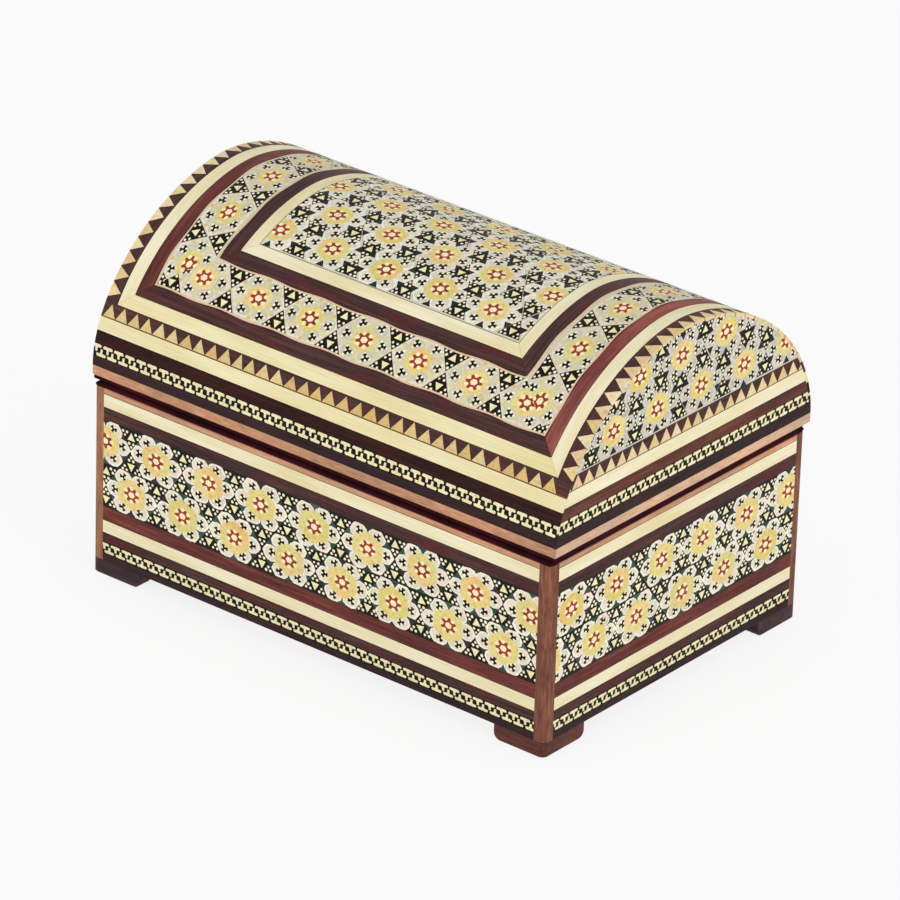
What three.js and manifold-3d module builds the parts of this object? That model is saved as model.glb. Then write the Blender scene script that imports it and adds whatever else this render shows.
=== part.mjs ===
// Inlaid jewellery box: a joined wooden case on four bracket feet and a barrel-vaulted lid on a long
// hinge, both covered with glued strips of ivory-coloured inlay, rosewood and star-pattern mosaic.
// Millimetres. +X runs along the box, the front faces -Y, +Z is up. The origin is the middle of the
// outline's footprint, at the undersides of the feet.
import * as THREE from 'three';
import { mergeVertices } from 'three/addons/utils/BufferGeometryUtils.js';
import Module from 'manifold-3d';

const wasm = await Module();
wasm.setup();

// Case
const CASE_LENGTH = 160;
const CASE_WIDTH = 110;
const CASE_HEIGHT = 52.4;
const FOOT_HEIGHT = 4.6;
const FOOT_REACH = 17;
const FOOT_END_RADIUS = 2;
const CORNER_RADIUS = 1.8;
const POST_WIDTH = 3.7;
const WALL = 5;
const BASE_THICKNESS = 3.5;
const BARE_RIM = 1.4;

// Inlay on the case walls: the strips below and above the mosaic, which fills the height between them
const INLAY_DEPTH = 0.9;
const MOSAIC_DEPTH = 0.45;
const CHAIN_STRIP = 8.5;
const LOWER_IVORY = 4;
const LOWER_ROSEWOOD = 4.1;
const UPPER_ROSEWOOD = 3.5;
const UPPER_IVORY = 4.2;

// Lid; it is as deep as the case, and its arch springs a little above its bare rim
const LID_OVERHANG = 1;
const LID_SET_BACK = 0.5;
const LID_HEIGHT = 49.3;
const ARCH_POWER = 1.82;
const LID_BOARD = 4;
const LID_RIM = 3.1;
const SPRING_ABOVE_RIM = 0.4;

// Inlay on the lid, from its bottom edge up the barrel, and from its ends in along the barrel
const LID_CHAIN_STRIP = 10.1;
const LID_IVORY = 4.2;
const ZIGZAG = 4.1;
const OUTER_IVORY = 4.5;
const OUTER_ROSEWOOD = 4;
const BAND_FRONT = 14;
const BAND_END = 15.2;
const INNER_ROSEWOOD = 4.1;
const INNER_IVORY = 4.1;
const FACET = 5;

// Velvet
const VELVET = 1;
const FLOOR_PAD = 1.5;
const CASE_RIM_VELVET = 1;
const LID_RIM_VELVET = 0.9;
const VELVET_CLEARANCE = 0.6;
const VELVET_INSET = 0.3;

// Hinge; its knuckles fill the gap between case and lid but for their clearance
const HINGE_END_INSET = 1;
const HINGE_INSET = 0.8;
const KNUCKLE_CLEARANCE = 0.3;
const KNUCKLE_WALL = 0.33;
const PIN_CLEARANCE = 0.26;
const KNUCKLES = 15;
const KNUCKLE_GAP = 0.3;
const LEAF_THICKNESS = 0.5;
const LEAF_EDGE_CLEARANCE = 0.25;
const NOTCH_CLEARANCE = 0.35;

const LID_GAP = CASE_RIM_VELVET + LID_RIM_VELVET + VELVET_CLEARANCE;
const KNUCKLE_RADIUS = LID_GAP / 2 - KNUCKLE_CLEARANCE;
const KNUCKLE_BORE_RADIUS = KNUCKLE_RADIUS - KNUCKLE_WALL;
const PIN_RADIUS = KNUCKLE_BORE_RADIUS - PIN_CLEARANCE;
const BOTTOM = FOOT_HEIGHT;
const TOP = BOTTOM + CASE_HEIGHT;
const LID_BOTTOM = TOP + LID_GAP;
const LID_LENGTH = CASE_LENGTH + 2 * LID_OVERHANG;
const CASE_Y = -LID_SET_BACK / 2;
const LID_Y = LID_SET_BACK / 2;
const HALF = CASE_LENGTH / 2;
const DEEP = CASE_WIDTH / 2;
const LID_HALF = LID_LENGTH / 2;
const LID_DEEP = DEEP;
const LID_STRAIGHT = LID_RIM + SPRING_ABOVE_RIM;
const RIM_WIDTH = INLAY_DEPTH + LID_BOARD;
const HINGE_Y = CASE_Y + DEEP - HINGE_INSET;
const HINGE_Z = TOP + LID_GAP / 2;

const paint = (color, roughness, metalness = 0) =>
  new THREE.MeshStandardMaterial({ color, roughness, metalness });
const LOOK = {
  limewood: paint(0xc9976f, 0.6),
  mahogany: paint(0x713d2c, 0.45),
  rosewood: paint(0x4a2228, 0.35),
  chain: paint(0x3a2427, 0.35),
  ivory: paint(0xece0b4, 0.35),
  mosaic: paint(0xb9b290, 0.35),
  zigzag: paint(0xb08a5c, 0.35),
  velvet: paint(0x2a0710, 0.95),
  brass: paint(0xb08d4a, 0.35, 1),
};

const part = new THREE.Group();

function add(name, geometry, look) {
  const mesh = new THREE.Mesh(geometry, look);
  mesh.name = name;
  part.add(mesh);
}

function signedVolume(points, faces) {
  let volume = 0;
  for (const [a, b, c] of faces) {
    const [p, q, r] = [points[a], points[b], points[c]];
    volume += p[0] * (q[1] * r[2] - q[2] * r[1]);
    volume += p[1] * (q[2] * r[0] - q[0] * r[2]);
    volume += p[2] * (q[0] * r[1] - q[1] * r[0]);
  }
  return volume / 6;
}

function toGeometry(points, faces) {
  const outward = signedVolume(points, faces) > 0;
  const ordered = outward ? faces : faces.map(([a, b, c]) => [a, c, b]);
  const geometry = new THREE.BufferGeometry();
  geometry.setAttribute('position', new THREE.Float32BufferAttribute(points.flat(), 3));
  geometry.setIndex(ordered.flat());
  return geometry;
}

// A solid made of the filled cells of a grid: u, v and w hold the grid's lines, and place turns a grid
// corner into a point in space. Neighbouring pieces made from the same lines meet face to face.
function gridSolid(u, v, w, filled, place) {
  const points = [];
  const known = new Map();
  const faces = [];
  const corner = (i, j, k) => {
    const key = (i * v.length + j) * w.length + k;
    if (!known.has(key)) {
      known.set(key, points.length);
      points.push(place(u[i], v[j], w[k]));
    }
    return known.get(key);
  };
  const has = (i, j, k) => {
    const inside = i >= 0 && j >= 0 && k >= 0 && i < u.length - 1 && j < v.length - 1 && k < w.length - 1;
    return inside && filled(i, j, k);
  };
  const quad = (a, b, c, d) => faces.push([a, b, c], [a, c, d]);
  for (let i = 0; i < u.length - 1; i += 1) {
    for (let j = 0; j < v.length - 1; j += 1) {
      for (let k = 0; k < w.length - 1; k += 1) {
        if (!has(i, j, k)) continue;
        const c = (a, b, d) => corner(i + a, j + b, k + d);
        if (!has(i - 1, j, k)) quad(c(0, 0, 0), c(0, 0, 1), c(0, 1, 1), c(0, 1, 0));
        if (!has(i + 1, j, k)) quad(c(1, 0, 0), c(1, 1, 0), c(1, 1, 1), c(1, 0, 1));
        if (!has(i, j - 1, k)) quad(c(0, 0, 0), c(1, 0, 0), c(1, 0, 1), c(0, 0, 1));
        if (!has(i, j + 1, k)) quad(c(0, 1, 0), c(0, 1, 1), c(1, 1, 1), c(1, 1, 0));
        if (!has(i, j, k - 1)) quad(c(0, 0, 0), c(0, 1, 0), c(1, 1, 0), c(1, 0, 0));
        if (!has(i, j, k + 1)) quad(c(0, 0, 1), c(1, 0, 1), c(1, 1, 1), c(0, 1, 1));
      }
    }
  }
  return toGeometry(points, faces);
}

const always = () => true;
const block = (x, y, z) => gridSolid(x, y, z, always, (a, b, c) => [a, b, c]);

// A straight prism on a flat outline; place turns outline coordinates and a depth into a point
function prism(outline, from, to, place) {
  const shape = outline.map(([a, b]) => new THREE.Vector2(a, b));
  if (THREE.ShapeUtils.isClockWise(shape)) shape.reverse();
  const n = shape.length;
  const points = [];
  for (const depth of [from, to]) {
    for (const p of shape) points.push(place(p.x, p.y, depth));
  }
  const faces = [];
  for (const [a, b, c] of THREE.ShapeUtils.triangulateShape(shape, [])) {
    faces.push([a, c, b], [a + n, b + n, c + n]);
  }
  for (let i = 0; i < n; i += 1) {
    const j = (i + 1) % n;
    faces.push([i, j, j + n], [i, j + n, i + n]);
  }
  return toGeometry(points, faces);
}

const alongX = (y, z, x) => [x, y, z];
const alongY = (x, z, y) => [x, y, z];
const alongZ = (x, y, z) => [x, y, z];

function toSolid(geometry) {
  const bare = new THREE.BufferGeometry();
  bare.setAttribute('position', geometry.getAttribute('position'));
  if (geometry.index) bare.setIndex(geometry.index);
  const merged = mergeVertices(bare, 1e-5);
  const mesh = new wasm.Mesh({
    numProp: 3,
    vertProperties: new Float32Array(merged.getAttribute('position').array),
    triVerts: new Uint32Array(merged.index.array),
  });
  return new wasm.Manifold(mesh);
}

function fromSolid(solid) {
  const mesh = solid.getMesh();
  const geometry = new THREE.BufferGeometry();
  const step = mesh.numProp;
  const points = [];
  for (let i = 0; i < mesh.vertProperties.length; i += step) {
    points.push(mesh.vertProperties[i], mesh.vertProperties[i + 1], mesh.vertProperties[i + 2]);
  }
  geometry.setAttribute('position', new THREE.Float32BufferAttribute(points, 3));
  geometry.setIndex(Array.from(mesh.triVerts));
  return geometry;
}

const joined = (list) => list.map(toSolid).reduce((a, b) => a.add(b));
const cut = (solid, list) => list.map(toSolid).reduce((a, b) => a.subtract(b), solid);

// Points on a round about a centre, from one angle to another, in degrees
function arc(cx, cy, radius, from, to, steps) {
  const points = [];
  for (let i = 0; i <= steps; i += 1) {
    const t = THREE.MathUtils.degToRad(from + ((to - from) * i) / steps);
    points.push([cx + radius * Math.cos(t), cy + radius * Math.sin(t)]);
  }
  return points;
}

// Case faces: u runs along the face, z up and d inwards from its outer surface
const SIDES = {
  front: { reach: HALF, place: (u, z, d) => [u, CASE_Y - DEEP + d, z] },
  back: { reach: HALF, place: (u, z, d) => [-u, CASE_Y + DEEP - d, z] },
  left: { reach: DEEP, place: (u, z, d) => [-HALF + d, CASE_Y - u, z] },
  right: { reach: DEEP, place: (u, z, d) => [HALF - d, CASE_Y + u, z] },
};

const CHAIN_TOP = BOTTOM + CHAIN_STRIP;
const IVORY_TOP = CHAIN_TOP + LOWER_IVORY;
const MOSAIC_FROM = IVORY_TOP + LOWER_ROSEWOOD;
const INLAY_TOP = TOP - BARE_RIM;
const ROSEWOOD_TOP = INLAY_TOP - UPPER_IVORY;
const MOSAIC_TO = ROSEWOOD_TOP - UPPER_ROSEWOOD;

function buildWall(name, side) {
  const post = side.reach - POST_WIDTH;
  const inner = side.reach - WALL;
  const onEnd = side.reach === DEEP;
  const u = onEnd ? [-post, -inner, inner, post] : [-post, post];
  const d = onEnd ? [0, INLAY_DEPTH, POST_WIDTH, WALL] : [0, INLAY_DEPTH, WALL];
  const filled = (i, j, k) => {
    if (k === 0) return j === 1;
    return k < 2 || !onEnd || i === 1;
  };
  add(`wall_${name}`, gridSolid(u, [BOTTOM, INLAY_TOP, TOP], d, filled, side.place), LOOK.limewood);
}

function buildCaseInlay(name, side) {
  const post = side.reach - POST_WIDTH;
  const across = [-post, post];
  const strip = (z0, z1) => gridSolid(across, [z0, z1], [0, INLAY_DEPTH], always, side.place);
  add(`${name}_chain_strip`, strip(BOTTOM, CHAIN_TOP), LOOK.chain);
  add(`${name}_lower_ivory`, strip(CHAIN_TOP, IVORY_TOP), LOOK.ivory);
  const levels = [IVORY_TOP, MOSAIC_FROM, MOSAIC_TO, ROSEWOOD_TOP];
  const ground = (i, j, k) => k === 1 || j !== 1;
  const depths = [0, MOSAIC_DEPTH, INLAY_DEPTH];
  add(`${name}_rosewood`, gridSolid(across, levels, depths, ground, side.place), LOOK.rosewood);
  const sheet = gridSolid(across, [MOSAIC_FROM, MOSAIC_TO], [0, MOSAIC_DEPTH], always, side.place);
  add(`${name}_khatam`, sheet, LOOK.mosaic);
  add(`${name}_upper_ivory`, strip(ROSEWOOD_TOP, INLAY_TOP), LOOK.ivory);
}

// Corner posts and feet, made for the front right corner and turned to the others
const CORNERS = [
  ['front_right', 1, 1],
  ['back_right', 1, -1],
  ['back_left', -1, -1],
  ['front_left', -1, 1],
];

function buildCorner(name, sx, sy) {
  const place = (a, b, z) => [sx * (HALF - a), CASE_Y - sy * (DEEP - b), z];
  const round = arc(CORNER_RADIUS, CORNER_RADIUS, CORNER_RADIUS, 180, 270, 6);
  const post = [...round, [POST_WIDTH, 0], [POST_WIDTH, POST_WIDTH], [0, POST_WIDTH]];
  add(`post_${name}`, prism(post, BOTTOM, TOP, place), LOOK.mahogany);
  const end = arc(FOOT_REACH - FOOT_END_RADIUS, FOOT_END_RADIUS, FOOT_END_RADIUS, 270, 360, 6);
  const side = [[0, 0], ...end, [FOOT_REACH, FOOT_HEIGHT], [0, FOOT_HEIGHT]];
  const legs = [
    prism(side, 0, WALL, (a, z, b) => place(a, b, z)),
    prism(side, 0, WALL, (b, z, a) => place(a, b, z)),
  ];
  const waste = [[-1, -1], [CORNER_RADIUS, -1], ...[...round].reverse(), [-1, CORNER_RADIUS]];
  const shaved = prism(waste, -1, FOOT_HEIGHT + 1, place);
  add(`foot_${name}`, fromSolid(cut(joined(legs), [shaved])), LOOK.mahogany);
}

function buildCaseLining() {
  const x = [HALF - VELVET_INSET, HALF - WALL, HALF - WALL - VELVET];
  const y = [DEEP - VELVET_INSET, DEEP - WALL, DEEP - WALL - VELVET];
  const u = [-x[0], -x[1], -x[2], x[2], x[1], x[0]];
  const v = [-y[0], -y[1], -y[2], y[2], y[1]].map((value) => value + CASE_Y);
  const base = BOTTOM + BASE_THICKNESS;
  const w = [base, base + FLOOR_PAD, TOP, TOP + CASE_RIM_VELVET];
  const filled = (i, j, k) => {
    const inWalls = i > 0 && i < 4 && j > 0;
    const hollow = i === 2 && j === 2;
    if (k === 0) return inWalls;
    return k === 1 ? inWalls && !hollow : !hollow;
  };
  add('case_lining', gridSolid(u, v, w, filled, (a, b, c) => [a, b, c]), LOOK.velvet);
}

// Barrel: the arch is a flattened round, straight for a little above the lid's bottom edge. Its outline
// is measured by the distance s along it from the bottom edge at the front.
const ARCH_STEPS = 4000;

function measureArch() {
  const rise = LID_HEIGHT - LID_STRAIGHT;
  const table = [{ s: 0, y: -LID_DEEP, z: 0 }];
  for (let i = 0; i <= ARCH_STEPS; i += 1) {
    const t = (Math.PI * i) / ARCH_STEPS;
    const c = Math.cos(t);
    const power = 2 / ARCH_POWER;
    const y = -LID_DEEP * Math.sign(c) * Math.abs(c) ** power;
    const z = LID_STRAIGHT + rise * Math.abs(Math.sin(t)) ** power;
    table.push({ y, z });
  }
  table.push({ y: LID_DEEP, z: 0 });
  for (let i = 1; i < table.length; i += 1) {
    const [p, q] = [table[i - 1], table[i]];
    q.s = p.s + Math.hypot(q.y - p.y, q.z - p.z);
  }
  return table;
}

const ARCH = measureArch();
const ARCH_LENGTH = ARCH[ARCH.length - 1].s;

function archPoint(s) {
  const wanted = Math.min(Math.max(s, 0), ARCH_LENGTH);
  let low = 0;
  let high = ARCH.length - 1;
  while (high - low > 1) {
    const middle = (low + high) >> 1;
    if (ARCH[middle].s <= wanted) low = middle;
    else high = middle;
  }
  const [p, q] = [ARCH[low], ARCH[high]];
  const f = (wanted - p.s) / (q.s - p.s);
  return [p.y + f * (q.y - p.y), p.z + f * (q.z - p.z)];
}

// Point at distance s along the arch and depth d below its surface; the two halves mirror each other
function archPlace(s, d) {
  if (s > ARCH_LENGTH / 2) {
    const [y, z] = archPlace(ARCH_LENGTH - s, d);
    return [-y, z];
  }
  const step = 0.4;
  if (Math.abs(s - ARCH_LENGTH / 2) < 1e-9) return [0, LID_HEIGHT - d];
  const [y0, z0] = archPoint(Math.max(s - step, 0));
  const [y1, z1] = archPoint(s + step);
  const [y, z] = archPoint(s);
  const straight = s <= LID_STRAIGHT;
  const length = Math.hypot(y1 - y0, z1 - z0);
  const inward = straight ? [1, 0] : [(z1 - z0) / length, -(y1 - y0) / length];
  return [y + d * inward[0], z + d * inward[1]];
}

const onBarrel = (x, s, d) => {
  const [y, z] = archPlace(s, d);
  return [x, LID_Y + y, LID_BOTTOM + z];
};

// Borders of the frames on the barrel, as distances up the arch and in from the ends
const IVORY_FROM = LID_RIM + LID_CHAIN_STRIP;
const ZIGZAG_FROM = IVORY_FROM + LID_IVORY;
const S_BORDERS = [ZIGZAG_FROM];
const X_BORDERS = [LID_HALF];
for (const [up, along] of [
  [ZIGZAG, ZIGZAG],
  [OUTER_IVORY, OUTER_IVORY],
  [OUTER_ROSEWOOD, OUTER_ROSEWOOD],
  [BAND_FRONT, BAND_END],
  [INNER_ROSEWOOD, INNER_ROSEWOOD],
  [INNER_IVORY, INNER_IVORY],
]) {
  S_BORDERS.push(S_BORDERS[S_BORDERS.length - 1] + up);
  X_BORDERS.push(X_BORDERS[X_BORDERS.length - 1] - along);
}

// Facet lines of the front half, then the whole arch by mirroring
function facetLines() {
  const stops = [0, LID_RIM, IVORY_FROM, ...S_BORDERS, ARCH_LENGTH / 2];
  const lines = [0];
  for (let i = 1; i < stops.length; i += 1) {
    const span = stops[i] - stops[i - 1];
    const parts = Math.max(1, Math.round(span / FACET));
    for (let k = 1; k <= parts; k += 1) lines.push(stops[i - 1] + (span * k) / parts);
  }
  const mirrored = lines.slice(0, -1).reverse().map((s) => ARCH_LENGTH - s);
  return [...lines, ...mirrored];
}

const FACETS = facetLines();
const facetsBetween = (from, to) => FACETS.filter((s) => s > from - 1e-6 && s < to + 1e-6);

// A frame on the barrel between border numbers outer and inner; keep says which cells are let in
function barrelFrame(outer, inner, depths, keep = always) {
  const back = (s) => ARCH_LENGTH - s;
  const s = facetsBetween(S_BORDERS[outer], back(S_BORDERS[outer]));
  const x = [];
  for (let k = outer; k <= inner; k += 1) x.push(X_BORDERS[k]);
  const u = [...x.map((value) => -value), ...x.slice().reverse()];
  const ring = (i, j) => {
    const fromEnd = Math.min(i, u.length - 2 - i);
    const middle = (s[j] + s[j + 1]) / 2;
    const nearest = Math.min(middle, back(middle));
    const fromEdge = S_BORDERS.findLastIndex((border) => border < nearest) - outer;
    return Math.min(fromEnd, fromEdge);
  };
  const filled = (i, j, k) => ring(i, j) < inner - outer && keep(ring(i, j), k);
  return gridSolid(u, s, depths, filled, onBarrel);
}

function buildBarrelInlay() {
  const veneer = [0, INLAY_DEPTH];
  const ends = [-LID_HALF, LID_HALF];
  const rows = [
    ['chain_strip', LID_RIM, IVORY_FROM, LOOK.chain],
    ['ivory', IVORY_FROM, ZIGZAG_FROM, LOOK.ivory],
  ];
  for (const [name, from, to, look] of rows) {
    const front = facetsBetween(from, to);
    const back = facetsBetween(ARCH_LENGTH - to, ARCH_LENGTH - from);
    add(`lid_front_${name}`, gridSolid(ends, front, veneer, always, onBarrel), look);
    add(`lid_back_${name}`, gridSolid(ends, back, veneer, always, onBarrel), look);
  }
  add('lid_zigzag_frame', barrelFrame(0, 1, veneer), LOOK.zigzag);
  add('lid_outer_ivory', barrelFrame(1, 2, veneer), LOOK.ivory);
  const ground = (ring, k) => k === 1 || ring !== 1;
  add('lid_rosewood_frame', barrelFrame(2, 5, [0, MOSAIC_DEPTH, INLAY_DEPTH], ground), LOOK.rosewood);
  add('lid_khatam_band', barrelFrame(3, 4, [0, MOSAIC_DEPTH]), LOOK.mosaic);
  add('lid_inner_ivory', barrelFrame(5, 6, veneer), LOOK.ivory);
  const field = facetsBetween(S_BORDERS[6], ARCH_LENGTH - S_BORDERS[6]);
  const middle = [-X_BORDERS[6], X_BORDERS[6]];
  add('lid_khatam_field', gridSolid(middle, field, veneer, always, onBarrel), LOOK.mosaic);
}

// Arch outline at a depth below the barrel's surface, kept between two heights above the lid's bottom
function archOutline(depth, from, to) {
  const whole = FACETS.map((s) => archPlace(s, depth));
  return clip(clip(whole, 1, from), -1, -to);
}

// Keeps the part of a convex outline where sign times its height is at least the level
function clip(outline, sign, level) {
  const kept = [];
  for (let i = 0; i < outline.length; i += 1) {
    const [p, q] = [outline[i], outline[(i + 1) % outline.length]];
    const [a, b] = [sign * p[1] - level, sign * q[1] - level];
    if (a >= -1e-9) kept.push(p);
    if (Math.abs(a) > 1e-9 && Math.abs(b) > 1e-9 && a * b < 0) {
      const f = a / (a - b);
      kept.push([p[0] + f * (q[0] - p[0]), p[1] + f * (q[1] - p[1])]);
    }
  }
  return kept;
}

const atLid = (y, z, x) => [x, LID_Y + y, LID_BOTTOM + z];
const heightAt = (s) => archPlace(s, 0)[1];

function buildLidEnd(name, sx) {
  const board = LID_HALF - INLAY_DEPTH;
  const inside = board - LID_BOARD;
  const outline = archOutline(RIM_WIDTH, LID_RIM, LID_HEIGHT);
  add(`lid_end_${name}`, prism(outline, sx * inside, sx * board, atLid), LOOK.limewood);
  const rows = [
    ['chain_strip', LID_RIM, heightAt(IVORY_FROM), LOOK.chain],
    ['ivory', heightAt(IVORY_FROM), heightAt(ZIGZAG_FROM), LOOK.ivory],
    ['zigzag', heightAt(ZIGZAG_FROM), heightAt(S_BORDERS[1]), LOOK.zigzag],
    ['khatam', heightAt(S_BORDERS[1]), LID_HEIGHT, LOOK.mosaic],
  ];
  for (const [piece, from, to, look] of rows) {
    const shape = archOutline(INLAY_DEPTH, from, to);
    add(`lid_${name}_${piece}`, prism(shape, sx * board, sx * LID_HALF, atLid), look);
  }
}

function buildLidBoards() {
  const x = [LID_HALF, LID_HALF - RIM_WIDTH];
  const y = [LID_DEEP, LID_DEEP - RIM_WIDTH];
  const u = [-x[0], -x[1], x[1], x[0]];
  const v = [-y[0], -y[1], y[1], y[0]];
  const ring = (i, j) => i !== 1 || j !== 1;
  add('lid_rim', gridSolid(u, v, [0, LID_RIM], ring, (a, b, c) => atLid(b, c, a)), LOOK.limewood);
  const board = LID_HALF - INLAY_DEPTH;
  const s = facetsBetween(LID_RIM, ARCH_LENGTH - LID_RIM);
  const shell = gridSolid([-board, board], s, [INLAY_DEPTH, RIM_WIDTH], always, onBarrel);
  add('lid_vault', shell, LOOK.limewood);
}

// The lid's lining turns out over the rim, but not under the hinge at the back
function buildLidLining() {
  const below = -LID_RIM_VELVET;
  const inside = LID_HALF - RIM_WIDTH;
  const lip = [LID_HALF - VELVET_INSET, LID_DEEP - VELVET_INSET];
  const drop = (outline, level) => outline.map(([y, z]) => [y, z <= 1e-6 ? level : z]);
  const outer = drop(archOutline(RIM_WIDTH, 0, LID_HEIGHT), below);
  const inner = drop(archOutline(RIM_WIDTH + VELVET, 0, LID_HEIGHT), below - 1);
  const flange = block([-lip[0], lip[0]], [LID_Y - lip[1], LID_Y + LID_DEEP - RIM_WIDTH],
    [LID_BOTTOM + below, LID_BOTTOM]);
  const hollow = prism(inner, VELVET - inside, inside - VELVET, atLid);
  const skin = cut(joined([prism(outer, -inside, inside, atLid), flange]), [hollow]);
  add('lid_lining', fromSolid(skin), LOOK.velvet);
}

// Hinge: knuckles alternate between the two leaves along a pin the length of the back edge
const HINGE_HALF = HALF - HINGE_END_INSET;
const KNUCKLE_PITCH = (2 * HINGE_HALF) / KNUCKLES;

function rod(radius, from, to, steps) {
  const outline = arc(HINGE_Y, HINGE_Z, radius, 0, 360 - 360 / steps, steps - 1);
  return prism(outline, from, to, alongX);
}

function buildLeaf(name, parity, edge, face, sign) {
  const band = [face, face + sign * LEAF_THICKNESS].sort((a, b) => a - b);
  const notch = HINGE_Y - KNUCKLE_RADIUS - NOTCH_CLEARANCE;
  const solids = [block([-HINGE_HALF, HINGE_HALF], [edge, notch], band)];
  for (let k = parity; k < KNUCKLES; k += 2) {
    const from = -HINGE_HALF + k * KNUCKLE_PITCH + (k > 0 ? KNUCKLE_GAP / 2 : 0);
    const to = -HINGE_HALF + (k + 1) * KNUCKLE_PITCH - (k < KNUCKLES - 1 ? KNUCKLE_GAP / 2 : 0);
    solids.push(block([from, to], [notch - 0.5, HINGE_Y], band));
    solids.push(rod(KNUCKLE_RADIUS, from, to, 16));
  }
  const bore = rod(KNUCKLE_BORE_RADIUS, -HINGE_HALF - 1, HINGE_HALF + 1, 12);
  add(name, fromSolid(cut(joined(solids), [bore])), LOOK.brass);
}

function buildHinge() {
  const caseEdge = CASE_Y + DEEP - WALL + LEAF_EDGE_CLEARANCE;
  const lidEdge = LID_Y + LID_DEEP - RIM_WIDTH + LEAF_EDGE_CLEARANCE;
  buildLeaf('hinge_case_leaf', 0, caseEdge, TOP, 1);
  buildLeaf('hinge_lid_leaf', 1, lidEdge, LID_BOTTOM, -1);
  add('hinge_pin', rod(PIN_RADIUS, -HINGE_HALF, HINGE_HALF, 12), LOOK.brass);
}

const floor = [BOTTOM, BOTTOM + BASE_THICKNESS];
const bedX = [WALL - HALF, HALF - WALL];
const bedY = [CASE_Y - DEEP + WALL, CASE_Y + DEEP - WALL];
add('base_board', block(bedX, bedY, floor), LOOK.limewood);
for (const [name, side] of Object.entries(SIDES)) buildWall(name, side);
for (const [name, sx, sy] of CORNERS) buildCorner(name, sx, sy);
for (const [name, side] of Object.entries(SIDES)) buildCaseInlay(name, side);
buildCaseLining();
buildLidBoards();
buildLidEnd('left', -1);
buildLidEnd('right', 1);
buildBarrelInlay();
buildLidLining();
buildHinge();

export default part;
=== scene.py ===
"""Looks of the inlaid jewellery box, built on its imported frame.

Lengths in this file are millimetres, and become metres where a mesh is made. +X runs along the box, the
front faces -Y and +Z is up, as in the frame. Every covering of the box is worked out flat, as a panel of
tesserae in the face's own coordinates u and v, and then laid on the face as a thin closed slab.
"""
from __future__ import annotations

import logging
import math
from dataclasses import dataclass, field, replace
from enum import Enum
from typing import Callable, Iterable, NamedTuple, Sequence

import bpy
import numpy as np
from mathutils import Matrix, Vector
from mathutils.geometry import delaunay_2d_cdt


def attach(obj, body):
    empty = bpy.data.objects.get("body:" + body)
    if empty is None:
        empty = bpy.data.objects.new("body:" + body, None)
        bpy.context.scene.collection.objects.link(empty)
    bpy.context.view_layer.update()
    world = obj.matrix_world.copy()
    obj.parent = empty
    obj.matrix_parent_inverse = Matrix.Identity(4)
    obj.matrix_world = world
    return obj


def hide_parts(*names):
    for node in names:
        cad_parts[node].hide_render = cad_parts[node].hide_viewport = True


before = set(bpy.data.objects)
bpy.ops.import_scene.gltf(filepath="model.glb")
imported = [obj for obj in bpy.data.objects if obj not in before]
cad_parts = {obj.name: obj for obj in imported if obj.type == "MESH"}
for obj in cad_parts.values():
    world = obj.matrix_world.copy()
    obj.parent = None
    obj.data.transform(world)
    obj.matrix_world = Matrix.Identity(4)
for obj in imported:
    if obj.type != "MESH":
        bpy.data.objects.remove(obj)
LOG = logging.getLogger("inlaid_box")
MM = 0.001
# A colour, as a hex code or as linear numbers.
Tint = str | Sequence[float]
# Settings of a colour mix that multiplies.
MULTIPLY = {"data_type": "RGBA", "blend_type": "MULTIPLY"}


# Colour and node helpers


def linear(code: str) -> tuple[float, float, float, float]:
    """Turns an sRGB hex colour into linear red, green, blue and alpha.

    Args:
        code: six hex digits with a leading hash.

    Returns:
        The linear colour, alpha 1: ((c + 0.055) / 1.055) ** 2.4 for each channel c, or c / 12.92 if dark.
    """
    parts = [int(code[i:i + 2], 16) / 255 for i in (1, 3, 5)]
    red, green, blue = [c / 12.92 if c <= 0.04045 else ((c + 0.055) / 1.055) ** 2.4 for c in parts]
    return (red, green, blue, 1.0)


def add_node(tree: bpy.types.NodeTree, kind: str, inputs: dict | None = None, **settings) -> bpy.types.Node:
    """Adds one shader node with its settings and links.

    Args:
        tree: the node tree that gets the node.
        kind: the node's type name.
        inputs: input name or number to a value, to an output socket that is linked to it, or to a node
            whose first output in use is linked to it.
        **settings: the node's own settings; stops, a list of (place, colour), fills a colour ramp.

    Returns:
        The new node.
    """
    node = tree.nodes.new(kind)
    for name, value in settings.items():
        if name == "stops":
            ramp = node.color_ramp
            while len(ramp.elements) < len(value):
                ramp.elements.new(1.0)
            for element, (place, colour) in zip(ramp.elements, value):
                element.position = place
                element.color = colour
        else:
            setattr(node, name, value)
    for key, value in (inputs or {}).items():
        if isinstance(value, bpy.types.Node):
            value = next(socket for socket in value.outputs if socket.enabled)
        if isinstance(value, bpy.types.NodeSocket):
            tree.links.new(value, node.inputs[key])
        else:
            node.inputs[key].default_value = value
    return node


def fresh_tree(owner: bpy.types.Material | bpy.types.World) -> bpy.types.NodeTree:
    """Turns on the nodes of a material or a world, and returns its tree, emptied."""
    owner.use_nodes = True
    owner.node_tree.nodes.clear()
    return owner.node_tree


def add_object(name: str, data: bpy.types.ID) -> bpy.types.Object:
    """Adds an object with its data to the scene."""
    made = bpy.data.objects.new(name, data)
    bpy.context.scene.collection.objects.link(made)
    return made


class Source(Enum):
    """Where a material reads its coordinates: flat on its panel, or in the object, grain along an axis."""

    PANEL = None
    ALONG_X = 0
    ALONG_Y = 1
    ALONG_Z = 2


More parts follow.
